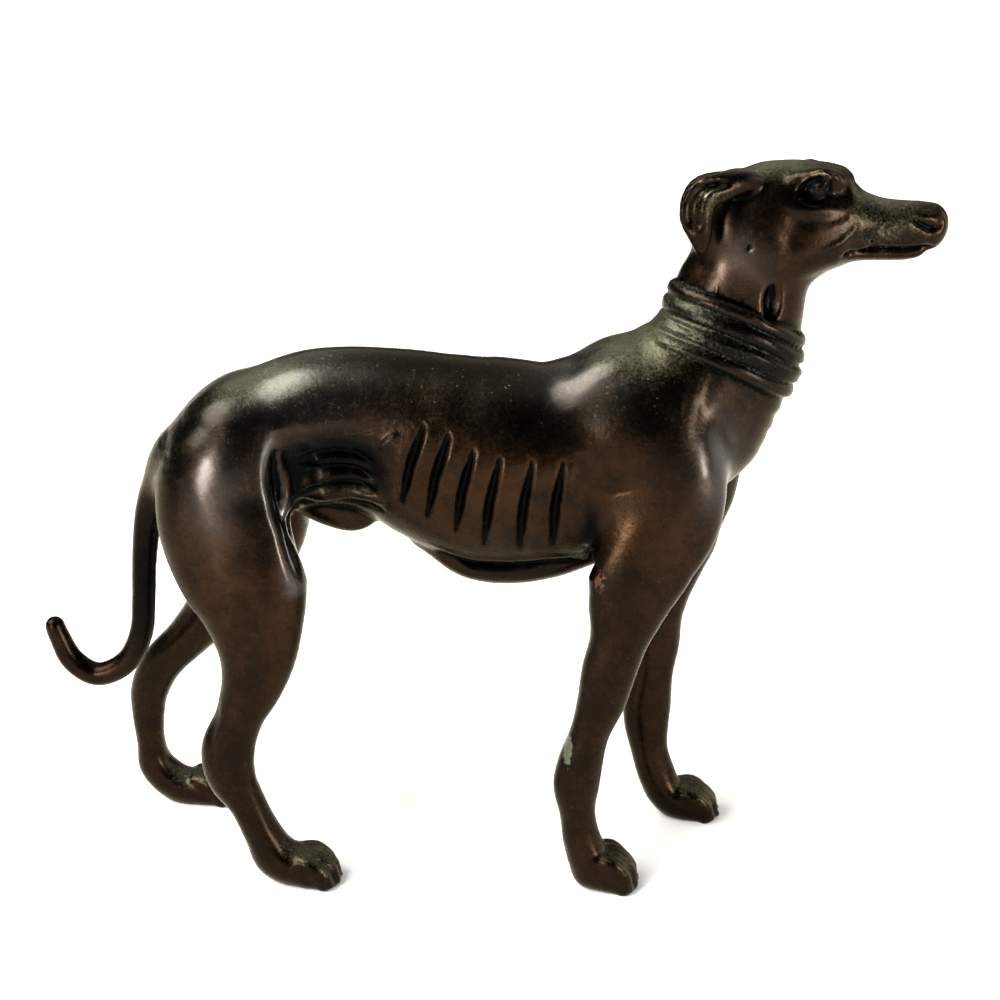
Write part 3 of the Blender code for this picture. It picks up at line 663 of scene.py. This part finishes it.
def muscles(points):
    """Shallow hollows and swells of the shoulder, the thigh and the legs."""
    # Hollow beside the chest, and the point of the shoulder
    depth = 0.9 * bump(points, (40.5, 9.0, 89.5), (3.2, 5.0, 5.0))
    depth -= 0.5 * bump(points, (34.5, 12.0, 84.0), (5.0, 4.0, 6.0))
    # Behind the shoulder, behind the thigh and behind the hock
    depth += cut(points, ((14.8, 86.0), (15.2, 80.0), (16.2, 74.0), (17.0, 68.0)), 2.2, 0.4)
    depth += cut(points, ((-56.0, 80.0), (-54.0, 70.0), (-52.0, 60.0)), 2.6, 0.35)
    depth += cut(points, ((-51.0, 38.0), (-52.8, 31.0), (-52.5, 25.0)), 1.0, 0.35, inner=12.0)
    # Under and over the elbow
    depth += 0.8 * bump(points, (14.6, 13.5, 59.8), (1.6, 6.0, 2.4))
    depth += cut(points, ((15.8, 67.6), (16.9, 65.0), (16.6, 62.6)), 0.7, 0.8)
    return depth


def face(points):
    """Depth of the mouth, nostrils, eye sockets and cheeks."""
    # Mouth, its corner and the fold of the lip
    depth = cut(points, MOUTH, 0.62, 1.5, fade=0.16, inner=0.6)
    depth += cut(points, ((58.2, 119.0), (61.2, 119.4), (64.5, 119.8)), 0.45, 0.8, inner=0.6)
    depth += 0.7 * bump(points, (59.8, 4.5, 119.3), (0.7, 3.0, 0.6))
    depth += cut(points, ((62.0, 123.2), (63.0, 121.8), (64.4, 120.4)), 0.75, 0.75, inner=0.6, lip=0.15)
    # Nostril and its wing
    depth += cut(points, NOSTRIL, 0.5, 0.9, inner=0.6)
    depth -= 0.35 * bump(points, (73.0, 3.2, 125.4), (1.5, 2.0, 0.9))
    # Socket, eyeball, lids and the creases around them
    depth += 0.9 * bump(points, (53.2, 7.0, 130.2), (2.9, 2.6, 1.8))
    depth -= 0.6 * bump(points, (53.2, 6.4, 130.0), (1.35, 3.0, 1.1))
    depth += cut(points, LID, 0.48, 0.75, fade=0.2)
    depth -= cut(points, np.array(LID) + (0.0, 1.1), 0.5, 0.38, fade=0.2)
    depth -= cut(points, ((55.8, 133.0), (55.0, 132.0), (54.4, 131.0), (54.1, 130.2)), 0.32, 0.3)
    depth += cut(points, ((56.3, 132.8), (55.7, 131.6), (55.2, 130.4), (55.0, 129.4)), 0.42, 0.5)
    depth += cut(points, ((50.6, 129.0), (52.4, 128.2), (54.6, 128.3)), 0.4, 0.3)
    depth += 0.4 * bump(points, (57.6, 6.0, 129.6), (1.6, 2.4, 2.4))
    # Cheek, jaw and the slot in the throat
    depth += cut(points, CHEEK, 1.3, 0.36)
    depth -= cut(points, ((47.8, 128.4), (49.6, 127.6), (52.0, 127.2), (55.0, 127.3)), 1.1, 0.12)
    depth -= cut(points, ((54.6, 120.2), (57.8, 121.4), (59.6, 123.0), (60.8, 124.8)), 0.8, 0.4)
    depth += 0.6 * bump(points, (49.6, 8.0, 122.8), (2.4, 3.0, 3.0))
    depth += 0.8 * bump(points, (42.3, 8.0, 121.0), (0.35, 3.0, 0.35))
    depth += 1.5 * basin(points, (46.8, 7.6, 111.6), (1.35, 4.0, 2.9))
    return depth


def ear_hollow(points):
    """A weight of 1 in the cup between the ear's rim and its folded flap."""
    inside = np.zeros(len(points))
    for side, along, up in ((-1.0, 0.0, 0.0), (1.0, *FAR_EAR_DROP)):
        away, _, place = nearness(points, np.array(EAR_CUP) + (along, up))
        width = 0.6 + 0.75 * held((place - 0.25) / 0.3)
        ends = tapered(place, 0.15)
        outer = held(side * points[:, 1] - 8.4)
        inside += np.exp(-((away / width) ** 4)) * ends * outer
    return inside


class Figure(bpy.types.PropertyGroup):
    length: FloatProperty(
        name="Length",
        description="From the tail's bend to the nose",
        default=CAD_BOX[1][0] - CAD_BOX[0][0],
        unit="LENGTH",
    )
    rib_depth: FloatProperty(
        name="Rib depth",
        description="How deep the rib cuts go, in the figure's own measures",
        default=1.35,
    )
    fold_depth: FloatProperty(
        name="Fold depth",
        description="How deep the flank's folds are cut, in the figure's own measures",
        default=0.95,
    )
    ring_height: FloatProperty(
        name="Ring height",
        description="How far the collar's rings stand out, as a share of the usual",
        default=1.0,
    )
    casting: FloatProperty(
        name="Casting waviness",
        description="How much the cast skin wanders, in the figure's own measures",
        default=0.045,
    )
    cell: FloatProperty(
        name="Mesh cell",
        description="Size of the mesh's cells before it is thinned, in the figure's own measures",
        default=0.45,
    )
    facets: IntProperty(
        name="Facets",
        description="Triangles of the finished mesh",
        default=190000,
    )


def block_out(limbs):
    """Balls along every limb, in one mesh."""
    shape = bmesh.new()
    bmesh.ops.create_icosphere(shape, subdivisions=2, radius=1.0)
    ball = np.array([vertex.co[:] for vertex in shape.verts])
    faces = np.array([[vertex.index for vertex in face.verts] for face in shape.faces])
    shape.free()
    places = [place for limb in limbs for place in limb.beads()]
    points = [ball @ turn.T + spot for turn, spot in places]
    joined = [faces + len(ball) * i for i in range(len(places))]
    mesh = bpy.data.meshes.new("blocks")
    mesh.from_pydata(np.concatenate(points).tolist(), [], np.concatenate(joined).tolist())
    return mesh


def with_modifier(mesh, kind, **settings):
    """The mesh as one modifier leaves it."""
    obj = bpy.data.objects.new("step", mesh)
    bpy.context.scene.collection.objects.link(obj)
    modifier = obj.modifiers.new(kind.title(), kind)
    for name, value in settings.items():
        setattr(modifier, name, value)
    graph = bpy.context.evaluated_depsgraph_get()
    done = bpy.data.meshes.new_from_object(obj.evaluated_get(graph))
    bpy.data.objects.remove(obj)
    return done


def remeshed(mesh, cell):
    """The mesh with even cells all over."""
    return with_modifier(mesh, "REMESH", mode="VOXEL", voxel_size=cell, adaptivity=0.0)


def rows_of(data, name):
    """Three numbers for each vertex."""
    rows = np.empty(len(data) * 3, np.float32)
    data.foreach_get(name, rows)
    return rows.reshape(-1, 3)


def spots_of(mesh):
    return rows_of(mesh.vertices, "co")


def normals_of(mesh):
    return rows_of(mesh.vertex_normals, "vector")


def place_spots(mesh, spots):
    mesh.vertices.foreach_set("co", np.ascontiguousarray(spots, np.float32).reshape(-1))
    mesh.update()


def settle(mesh, limbs, rounds=3, most=1.2):
    """Move each vertex along its normal onto the form."""
    for _ in range(rounds):
        spots = spots_of(mesh)
        step = np.clip(form(spots, limbs), -most, most)
        place_spots(mesh, spots - step[:, None] * normals_of(mesh))


class Neighbours:
    """Averages over each vertex's neighbours."""

    def __init__(self, mesh):
        ends = np.empty(len(mesh.edges) * 2, np.int32)
        mesh.edges.foreach_get("vertices", ends)
        ends = ends.reshape(-1, 2)
        self.here = np.concatenate([ends[:, 0], ends[:, 1]])
        self.there = np.concatenate([ends[:, 1], ends[:, 0]])
        self.count = len(mesh.vertices)
        self.links = np.maximum(np.bincount(self.here, minlength=self.count), 1)

    def mean(self, values):
        columns = values.reshape(self.count, -1).T
        means = [np.bincount(self.here, column[self.there], self.count) / self.links for column in columns]
        return np.array(means).T.reshape(values.shape)

    def smooth(self, values, rounds, pull=0.5):
        for _ in range(rounds):
            values = values + pull * (self.mean(values) - values)
        return values


def sculpted(settings):
    """The figure as a fine closed mesh, in its own measures."""
    limbs = figure()
    mesh = remeshed(block_out(limbs), BLOCK_CELL)
    settle(mesh, limbs)
    mesh = remeshed(mesh, settings.cell * (1.0))
    settle(mesh, limbs)
    near = Neighbours(mesh)
    place_spots(mesh, near.smooth(spots_of(mesh), 3))
    spots = spots_of(mesh)
    depth = flank(spots, settings.rib_depth, settings.fold_depth) + muscles(spots) + face(spots)
    depth += 1.2 * ear_hollow(spots) - settings.ring_height * rings(spots)
    depth += settings.casting * (unevenness(spots, 14.0, 1) + 0.35 * unevenness(spots, 3.0, 2))
    place_spots(mesh, spots - depth[:, None] * near.smooth(normals_of(mesh), 2))
    place_spots(mesh, near.smooth(spots_of(mesh), 1, pull=0.3))
    paint_masks(mesh, near)
    mesh.calc_loop_triangles()
    share = settings.facets / len(mesh.loop_triangles)
    return with_modifier(mesh, "DECIMATE", ratio=min(share, 1.0))


def flat_soles(mesh):
    """Cut the paws level with the ground and close them."""
    shape = bmesh.new()
    shape.from_mesh(mesh)
    everything = shape.verts[:] + shape.edges[:] + shape.faces[:]
    bmesh.ops.bisect_plane(
        shape, geom=everything, plane_co=(0, 0, GROUND), plane_no=(0, 0, 1), clear_inner=True
    )
    rim = [edge for edge in shape.edges if edge.is_boundary]
    bmesh.ops.triangulate(shape, faces=bmesh.ops.holes_fill(shape, edges=rim, sides=0)["faces"])
    bmesh.ops.recalc_face_normals(shape, faces=shape.faces[:])
    shape.to_mesh(mesh)
    shape.free()


def curvature(spots, normals, near, rounds):
    """How sharply each spot bulges, in 1 over its radius: more rounds of smoothing look at a wider patch."""
    moved = ((spots - near.smooth(spots, rounds)) * normals).sum(axis=1)
    apart = np.linalg.norm(spots[near.here] - spots[near.there], axis=1)
    spacing = np.bincount(near.here, apart, near.count) / near.links
    return near.smooth(moved * 4.0 / (rounds * spacing.mean() ** 2), 1)


def paint_masks(mesh, near):
    """Weights of 0 to 1 on the mesh that the bronze's finish, its painted shade and its painted sheen are
    mixed by.
    """
    spots = spots_of(mesh).astype(float)
    normals = normals_of(mesh).astype(float)
    masks = {}
    # Curvature: small hollows, darkened as patina and painted shade, and wide concave places, darkened as
    # painted shade
    sharp = curvature(spots, normals, near, 4)
    masks["hollow"] = -sharp - 0.1
    masks["ridge"] = (sharp - 0.45) / 0.9
    masks["shade"] = (0.02 - curvature(spots, normals, near, 60)) / 0.22
    height, around = collar_place(spots)
    masks["collar"] = held(1.6 - np.abs(height - COLLAR_MIDDLE) / COLLAR_HALF) * around
    up = held(normals[:, 2])
    ahead = held(normals[:, 0])
    low = held(1.0 - (spots[:, 2] - GROUND) / 10.0)
    shins = held((52.0 - spots[:, 2]) / 10.0) * (1.0 - low)
    top = held((spots[:, 2] - 90.0) / 6.0)
    # Dusty patches and upward faces, paler forward faces of the shins, and a painted sheen on the withers
    # and the rump
    masks["dust"] = patches(spots, DUST_AND_SHEEN) + 1.4 * low**0.5 * up + 0.4 * ahead**2 * shins + 0.3 * up**2 * top
    masks["rubbed"] = patches(spots, RUBBED)
    away, hand, _ = nearness(spots, THIGH_RIM)
    on_rim = np.exp(-(((away * hand + 0.2) / 1.4) ** 2)) * (np.abs(spots[:, 1]) > 6)
    masks["polished"] = patches(spots, POLISHED) + on_rim
    # Painted shade on those patches and on the low sides of the paws that do not face up
    masks["soot"] = patches(spots, PAINTED_SHADE_PATCHES) + 0.5 * low * (1.0 - up)
    # A greyer, paler base on the upward faces high on the body
    masks["film"] = up**1.5 * held((spots[:, 2] - 70.0) / 15.0)
    masks["scraped"] = patches(spots, SCRAPED, sides=False)
    masks["chip"] = patches(spots, CHIPPED, sides=False)
    masks["foot"] = low
    masks["handled"] = patches(spots, HANDLED)
    for name, values in masks.items():
        weights = held(values).astype(np.float32)
        mesh.attributes.new(name, "FLOAT", "POINT").data.foreach_set("value", weights)


def to_frame(mesh, length):
    """In metres, with the middle of the box's underside at the origin, and the length exact."""
    points = spots_of(mesh).astype(float)
    low, high = points.min(axis=0), points.max(axis=0)
    middle = np.array([(low[0] + high[0]) / 2, (low[1] + high[1]) / 2, low[2]])
    place_spots(mesh, (points - middle) * length / (high[0] - low[0]))


class Value:
    """A number on the surface, so that sums of sockets can be written as sums."""

    def __init__(self, wiring, socket):
        self.wiring = wiring
        self.socket = socket

    def maths(self, operation, first, second, clamp=False):
        settings = {"operation": operation, "use_clamp": clamp}
        return self.wiring.node("ShaderNodeMath", settings, {0: first, 1: second}, 0)

    def __add__(self, other):
        return self.maths("ADD", self, other)

    __radd__ = __add__

    def __sub__(self, other):
        return self.maths("SUBTRACT", self, other)

    def __rsub__(self, other):
        return self.maths("SUBTRACT", other, self)

    def __mul__(self, other):
        return self.maths("MULTIPLY", self, other)

    __rmul__ = __mul__

    def held(self):
        """Kept between 0 and 1."""
        return self.maths("ADD", self, 0.0, clamp=True)

    def between(self, low, high):
        """0 below low, 1 above high, and smooth between them."""
        sockets = {"Value": self, "From Min": low, "From Max": high}
        return self.wiring.node("ShaderNodeMapRange", {"interpolation_type": "SMOOTHSTEP"}, sockets, 0)


class Wiring:
    """Adds nodes to one material."""

    def __init__(self, material):
        material.use_nodes = True
        self.tree = material.node_tree
        self.shader = self.tree.nodes["Principled BSDF"]

    def node(self, kind, settings, sockets, output):
        """What one output of a new node gives."""
        node = self.tree.nodes.new(kind)
        for name, setting in settings.items():
            setattr(node, name, setting)
        self.join(node, sockets)
        return Value(self, node.outputs[output])

    def join(self, node, sockets):
        """Link values to a node's sockets, and set plain numbers and colours on them."""
        for name, given in sockets.items():
            if isinstance(given, Value):
                self.tree.links.new(given.socket, node.inputs[name])
            else:
                node.inputs[name].default_value = given

    def mask(self, name):
        return self.node("ShaderNodeAttribute", {"attribute_name": name}, {}, "Fac")

    def noise(self, place, size, detail, rough):
        sockets = {"Vector": place, "Scale": 1.0 / size, "Detail": detail, "Roughness": rough}
        return self.node("ShaderNodeTexNoise", {}, sockets, 0)

    def cells(self, place, size):
        """Distance from the nearest of many scattered spots, in shares of their spacing."""
        return self.node("ShaderNodeTexVoronoi", {}, {"Vector": place, "Scale": 1.0 / size}, "Distance")

    def scratches(self, place, scale):
        """Fine wandering lines, which follow the level lines of a stretched noise."""
        level = self.noise(self.stretched(place, scale), 1.0, 2.0, 0.4)
        apart = (level - 0.5) * (level - 0.5)
        return (0.00012 - apart).between(0.0, 0.0001)

    def stretched(self, place, scale):
        return self.node("ShaderNodeMapping", {}, {"Vector": place, "Scale": scale}, 0)

    def mix(self, share, first, second):
        return self.node("ShaderNodeMix", {"data_type": "RGBA"}, {0: share, 6: first, 7: second}, 2)


class Bronze(bpy.types.PropertyGroup):
    umber: FloatVectorProperty(
        name="Umber",
        description="The patina over most of the casting",
        default=(0.006, 0.0034, 0.0016, 1.0),
        size=4,
        subtype="COLOR",
    )
    chestnut: FloatVectorProperty(
        name="Chestnut",
        description="The warmer patina that shows through it",
        default=(0.0165, 0.0073, 0.0025, 1.0),
        size=4,
        subtype="COLOR",
    )
    rubbed: FloatVectorProperty(
        name="Rubbed",
        description="Reddish metal where hands have worn the patina thin",
        default=(0.034, 0.0152, 0.0058, 1.0),
        size=4,
        subtype="COLOR",
    )
    # A greyer, paler base on the upward faces high on the body
    film: FloatVectorProperty(
        name="Film",
        description="Dull grey film on the upward faces",
        default=(0.013, 0.0115, 0.0078, 1.0),
        size=4,
        subtype="COLOR",
    )
    # Dark patina in the cuts and hollows, and also the colour of the painted shade in the concave places and
    # the painted-shade patches
    recess: FloatVectorProperty(
        name="Recess",
        description="Near-black green in the cuts and hollows",
        default=(0.0016, 0.002, 0.0019, 1.0),
        size=4,
        subtype="COLOR",
    )
    # Grey-green dusting, which is also the colour of the painted sheen on the withers and the rump
    dust: FloatVectorProperty(
        name="Dust",
        description="Grey-green bloom on the back, the collar and the head",
        default=(0.115, 0.12, 0.07, 1.0),
        size=4,
        subtype="COLOR",
    )
    bare: FloatVectorProperty(
        name="Bare metal",
        description="Brassy metal on the sharp edges",
        default=(0.5, 0.38, 0.22, 1.0),
        size=4,
        subtype="COLOR",
    )
    scrape: FloatVectorProperty(
        name="Scrape",
        description="Reddish metal in the scrape behind the near elbow",
        default=(0.15, 0.07, 0.035, 1.0),
        size=4,
        subtype="COLOR",
    )
    chip: FloatVectorProperty(
        name="Chip",
        description="Pale green in the chip at the back of the near fore leg",
        default=(0.095, 0.102, 0.068, 1.0),
        size=4,
        subtype="COLOR",
    )
    polish: FloatProperty(
        name="Roughness",
        description="Roughness of the patina between the rubbed and the dusty places",
        default=0.28,
    )
    pitting: FloatProperty(
        name="Pitting",
        description="Depth of the finest casting marks",
        default=0.00018,
        unit="LENGTH",
    )


def bronze(colours):
    """Dark patinated bronze: rubbed high places, black recesses with painted shade, grey-green dusting with
    a painted sheen, and brassy edges.
    """
    material = bpy.data.materials.new("patinated bronze")
    wiring = Wiring(material)
    place = wiring.node("ShaderNodeTexCoord", {}, {}, "Object")
    clouds = wiring.noise(place, 0.016, 5.0, 0.6)
    mottle = wiring.noise(place, 0.0045, 6.0, 0.65)
    grain = wiring.noise(place, 0.0008, 4.0, 0.6)
    speck = wiring.noise(place, 0.00042, 2.0, 0.5)
    strokes = wiring.noise(wiring.stretched(place, (220.0, 2600.0, 900.0)), 1.0, 3.0, 0.6)
    pits = wiring.cells(place, 0.0026)
    dots = wiring.cells(place, 0.0013)
    scratches = wiring.scratches(place, (90.0, 500.0, 420.0)) + wiring.scratches(place, (430.0, 300.0, 70.0))

    hollow = wiring.mask("hollow")
    shade = wiring.mask("shade")
    collar = wiring.mask("collar")
    polished = wiring.mask("polished")
    film = wiring.mask("film")
    worn = (wiring.mask("rubbed") * (clouds * 0.9 + mottle * 0.6).between(0.45, 1.0)).held()

    warmth = (clouds * 0.6 + mottle * 0.7 + (grain - 0.5) * 0.5 + worn * 0.5).between(0.5, 0.95)
    colour = wiring.mix(warmth, tuple(colours.umber), tuple(colours.chestnut))
    colour = wiring.mix(worn * (0.35 + strokes * 0.6), colour, tuple(colours.rubbed))
    colour = wiring.mix(film * 0.85, colour, tuple(colours.film))
    lines = (scratches * mottle.between(0.35, 0.7) * wiring.mask("handled")).held()
    colour = wiring.mix(lines * 0.1, colour, tuple(colours.dust))
    # Towards the recess colour: patina in the hollows and on the collar, and painted shade in the wide
    # concave places and the painted-shade patches
    patina_and_shade = hollow * 1.4 + wiring.mask("soot") * 0.75 + shade * 0.75 + collar * 0.6 - worn * 0.3
    dark = (patina_and_shade + (mottle - 0.5) * 0.5).between(0.1, 0.8)
    colour = wiring.mix(dark, colour, tuple(colours.recess))
    pit = (0.1 - pits).between(0.0, 0.05) * clouds.between(0.5, 0.62)
    colour = wiring.mix(pit * 0.7, colour, tuple(colours.recess))
    ridge = wiring.mask("ridge")
    edge = (ridge + wiring.mask("foot") * ridge * 1.2 - 0.35 + (grain - 0.5) * 0.6).between(0.05, 0.6)
    colour = wiring.mix(edge * 0.4, colour, tuple(colours.bare))
    scraped = (wiring.mask("scraped") + (grain - 0.5) * 1.8 + (strokes - 0.5) * 2.0).between(0.5, 1.1)
    colour = wiring.mix(scraped * 0.55, colour, tuple(colours.scrape))
    # Grey-green dusting, which on the withers and the rump stands for a painted sheen
    lying_dust_and_sheen = wiring.mask("dust") * 0.8 + collar * (hollow * 0.15 + 0.14)
    bloom_and_sheen = (lying_dust_and_sheen + (speck - 0.5) * 0.8 + (mottle - 0.5) * 0.5 - 0.2).between(0.0, 0.9) * 0.6
    dot = (speck * 0.5 - 0.1 - dots).between(0.0, 0.08) * (film * 0.8 + wiring.mask("dust")).held()
    bloom_and_sheen = (bloom_and_sheen + dot * mottle.between(0.35, 0.65) * 0.6).held()
    colour = wiring.mix(bloom_and_sheen, colour, tuple(colours.dust))
    chip = (wiring.mask("chip") + (grain - 0.5) * 1.1).between(0.4, 0.7) * 0.7
    colour = wiring.mix(chip * (0.5 + grain * 0.7), colour, tuple(colours.chip))

    lit = 1.0 - (dark * 0.85 + hollow).held()
    uneven = colours.polish + (mottle - 0.5) * 0.25 + (grain - 0.5) * 0.25
    rough = uneven + bloom_and_sheen * 0.4 - polished * 0.04 - lines * 0.1
    metal = 1.0 - bloom_and_sheen * 0.8 - chip * 0.9
    height = grain * 0.5 + strokes * 0.3 + mottle * 0.8 - pit * 1.2 + bloom_and_sheen * 0.3 - chip * 0.5 - lines * 0.25
    sockets = {"Strength": 0.6, "Distance": colours.pitting, "Height": height}
    bumped = wiring.node("ShaderNodeBump", {}, sockets, "Normal")
    wiring.join(
        wiring.shader,
        {
            "Base Color": colour,
            "Metallic": metal.held(),
            "Roughness": rough.held(),
            "Normal": bumped,
            "Coat Weight": ((0.06 + polished * 0.75 + collar * 0.12 - bloom_and_sheen * 0.2) * lit).held(),
            "Coat Roughness": 0.26,
            "Specular Tint": (0.82, 0.77, 0.68, 1.0),
        },
    )
    return material


class GREYHOUND_OT_casting(bpy.types.Operator):
    """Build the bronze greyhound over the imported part"""

    bl_idname = "greyhound.casting"
    bl_label = "Greyhound"

    def execute(self, context):
        settings = context.scene.greyhound_figure
        mesh = sculpted(settings)
        flat_soles(mesh)
        to_frame(mesh, settings.length)
        mesh.name = "greyhound_casting"
        mesh.materials.clear()
        mesh.materials.append(bronze(context.scene.greyhound_bronze))
        mesh.shade_smooth()
        casting = bpy.data.objects.new("greyhound_casting", mesh)
        context.collection.objects.link(casting)
        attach(casting, "root")
        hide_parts("greyhound")
        return {"FINISHED"}


class Studio(bpy.types.PropertyGroup):
    floor: FloatVectorProperty(
        name="Floor",
        description="Colour of the floor",
        default=(0.93, 0.93, 0.93, 1.0),
        size=4,
        subtype="COLOR",
    )
    surround: FloatProperty(
        name="Surround",
        description="Brightness of the dim room all round",
        default=0.04,
    )
    tint: FloatVectorProperty(
        name="Tint",
        description="Colour of every light",
        default=(1.0, 0.98, 0.94),
        size=3,
        subtype="COLOR",
    )
    window: FloatProperty(
        name="Window",
        description="Strength of the tall soft light on the left",
        default=6.6,
    )
    overhead: FloatProperty(
        name="Overhead light",
        description="Strength of the wide soft light above and behind",
        default=1.1,
    )
    bounce: FloatProperty(
        name="Bounce",
        description="Strength of the soft light from the right",
        default=1.6,
    )
    panels: FloatProperty(
        name="Side panels",
        description="Power of the two small soft lights low on the left and the right",
        default=5.5,
        unit="POWER",
    )
    camera_place: FloatVectorProperty(
        name="Camera place",
        description="Where the camera stands",
        default=(0.0195, -0.2672, 0.1651),
        subtype="TRANSLATION",
        unit="LENGTH",
    )
    camera_aim: FloatVectorProperty(
        name="Camera aim",
        description="The direction that the camera looks in",
        default=(-0.0495, 0.9442, -0.3256),
        subtype="DIRECTION",
    )
    lens: FloatProperty(
        name="Lens",
        description="Focal length in millimetres on a 36 mm sensor",
        default=55.08,
    )


def from_bearing(bearing, height):
    """The direction to a light: bearing 0 is behind the camera and 90 on the right, in degrees."""
    bearing, height = math.radians(bearing), math.radians(height)
    level = math.cos(height)
    return Vector((math.sin(bearing) * level, -math.cos(bearing) * level, math.sin(height)))


def add_light(name, kind, strength, direction):
    """A light turned to shine from a direction."""
    light = bpy.data.lights.new(name, kind)
    light.energy = strength
    light.color = bpy.context.scene.greyhound_studio.tint
    lamp = bpy.data.objects.new(name, light)
    lamp.rotation_euler = direction.to_track_quat("Z", "Y").to_euler()
    bpy.context.scene.collection.objects.link(lamp)
    return lamp


def far_light(name, bearing, height, breadth, strength):
    """Soft light from far away, as broad as so many degrees of the sky."""
    lamp = add_light(name, "SUN", strength, from_bearing(bearing, height))
    lamp.data.angle = math.radians(breadth)


def near_light(name, bearing, height, size, power):
    """A soft panel that stands beside the statue."""
    direction = from_bearing(bearing, height)
    lamp = add_light(name, "AREA", power, direction)
    lamp.data.shape = "RECTANGLE"
    lamp.data.size, lamp.data.size_y = size
    lamp.location = Vector(PANEL_AIM) + direction * PANEL_REACH


class GREYHOUND_OT_studio(bpy.types.Operator):
    """Set up the floor, the soft lights and the camera"""

    bl_idname = "greyhound.studio"
    bl_label = "Studio"

    def execute(self, context):
        studio = context.scene.greyhound_studio
        bpy.ops.mesh.primitive_plane_add(size=FLOOR_SIZE, location=(0.0, 0.0, 0.0))
        floor = context.object
        floor.name = "studio_floor"
        material = bpy.data.materials.new("pale floor")
        wiring = Wiring(material)
        wiring.join(wiring.shader, {"Base Color": tuple(studio.floor), "Roughness": 0.9})
        floor.data.materials.append(material)

        world = bpy.data.worlds.new("studio surround")
        world.use_nodes = True
        backing = world.node_tree.nodes["Background"]
        backing.inputs["Color"].default_value = (1.0, 1.0, 1.0, 1.0)
        backing.inputs["Strength"].default_value = studio.surround
        context.scene.world = world
        for name, (bearing, height, breadth) in FAR_LIGHTS.items():
            far_light(name, bearing, height, breadth, getattr(studio, name))
        for name, (bearing, height, size, share) in PANELS.items():
            near_light(name, bearing, height, size, studio.panels * share)

        lens = bpy.data.cameras.new("camera")
        lens.lens = studio.lens
        lens.sensor_width = SENSOR
        lens.clip_start = 0.01
        lens.clip_end = 60.0
        camera = bpy.data.objects.new("camera", lens)
        camera.location = studio.camera_place
        camera.rotation_euler = Vector(studio.camera_aim).to_track_quat("-Z", "Y").to_euler()
        context.scene.collection.objects.link(camera)
        context.scene.camera = camera
        context.scene.view_settings.view_transform = "Standard"
        return {"FINISHED"}


class GREYHOUND_PT_sidebar(bpy.types.Panel):
    """The greyhound's steps and sizes in the sidebar"""

    bl_label = "Greyhound"
    bl_idname = "GREYHOUND_PT_sidebar"
    bl_space_type = "VIEW_3D"
    bl_region_type = "UI"
    bl_category = "Greyhound"

    def draw(self, context):
        for group in GROUPS:
            settings = getattr(context.scene, group)
            step = GREYHOUND_OT_studio if group == "greyhound_studio" else GREYHOUND_OT_casting
            box = self.layout.box()
            for name in settings.__annotations__:
                box.prop(settings, name)
            box.operator(step.bl_idname)


GROUPS = {"greyhound_figure": Figure, "greyhound_bronze": Bronze, "greyhound_studio": Studio}
CLASSES = (*GROUPS.values(), GREYHOUND_OT_casting, GREYHOUND_OT_studio, GREYHOUND_PT_sidebar)


def register():
    for kind in CLASSES:
        bpy.utils.register_class(kind)
    for name, kind in GROUPS.items():
        setattr(bpy.types.Scene, name, PointerProperty(type=kind))


def unregister():
    for name in GROUPS:
        delattr(bpy.types.Scene, name)
    for kind in reversed(CLASSES):
        bpy.utils.unregister_class(kind)


def main():
    register()
    bpy.ops.greyhound.studio()
    bpy.ops.greyhound.casting()


if __name__ == "__main__":
    main()
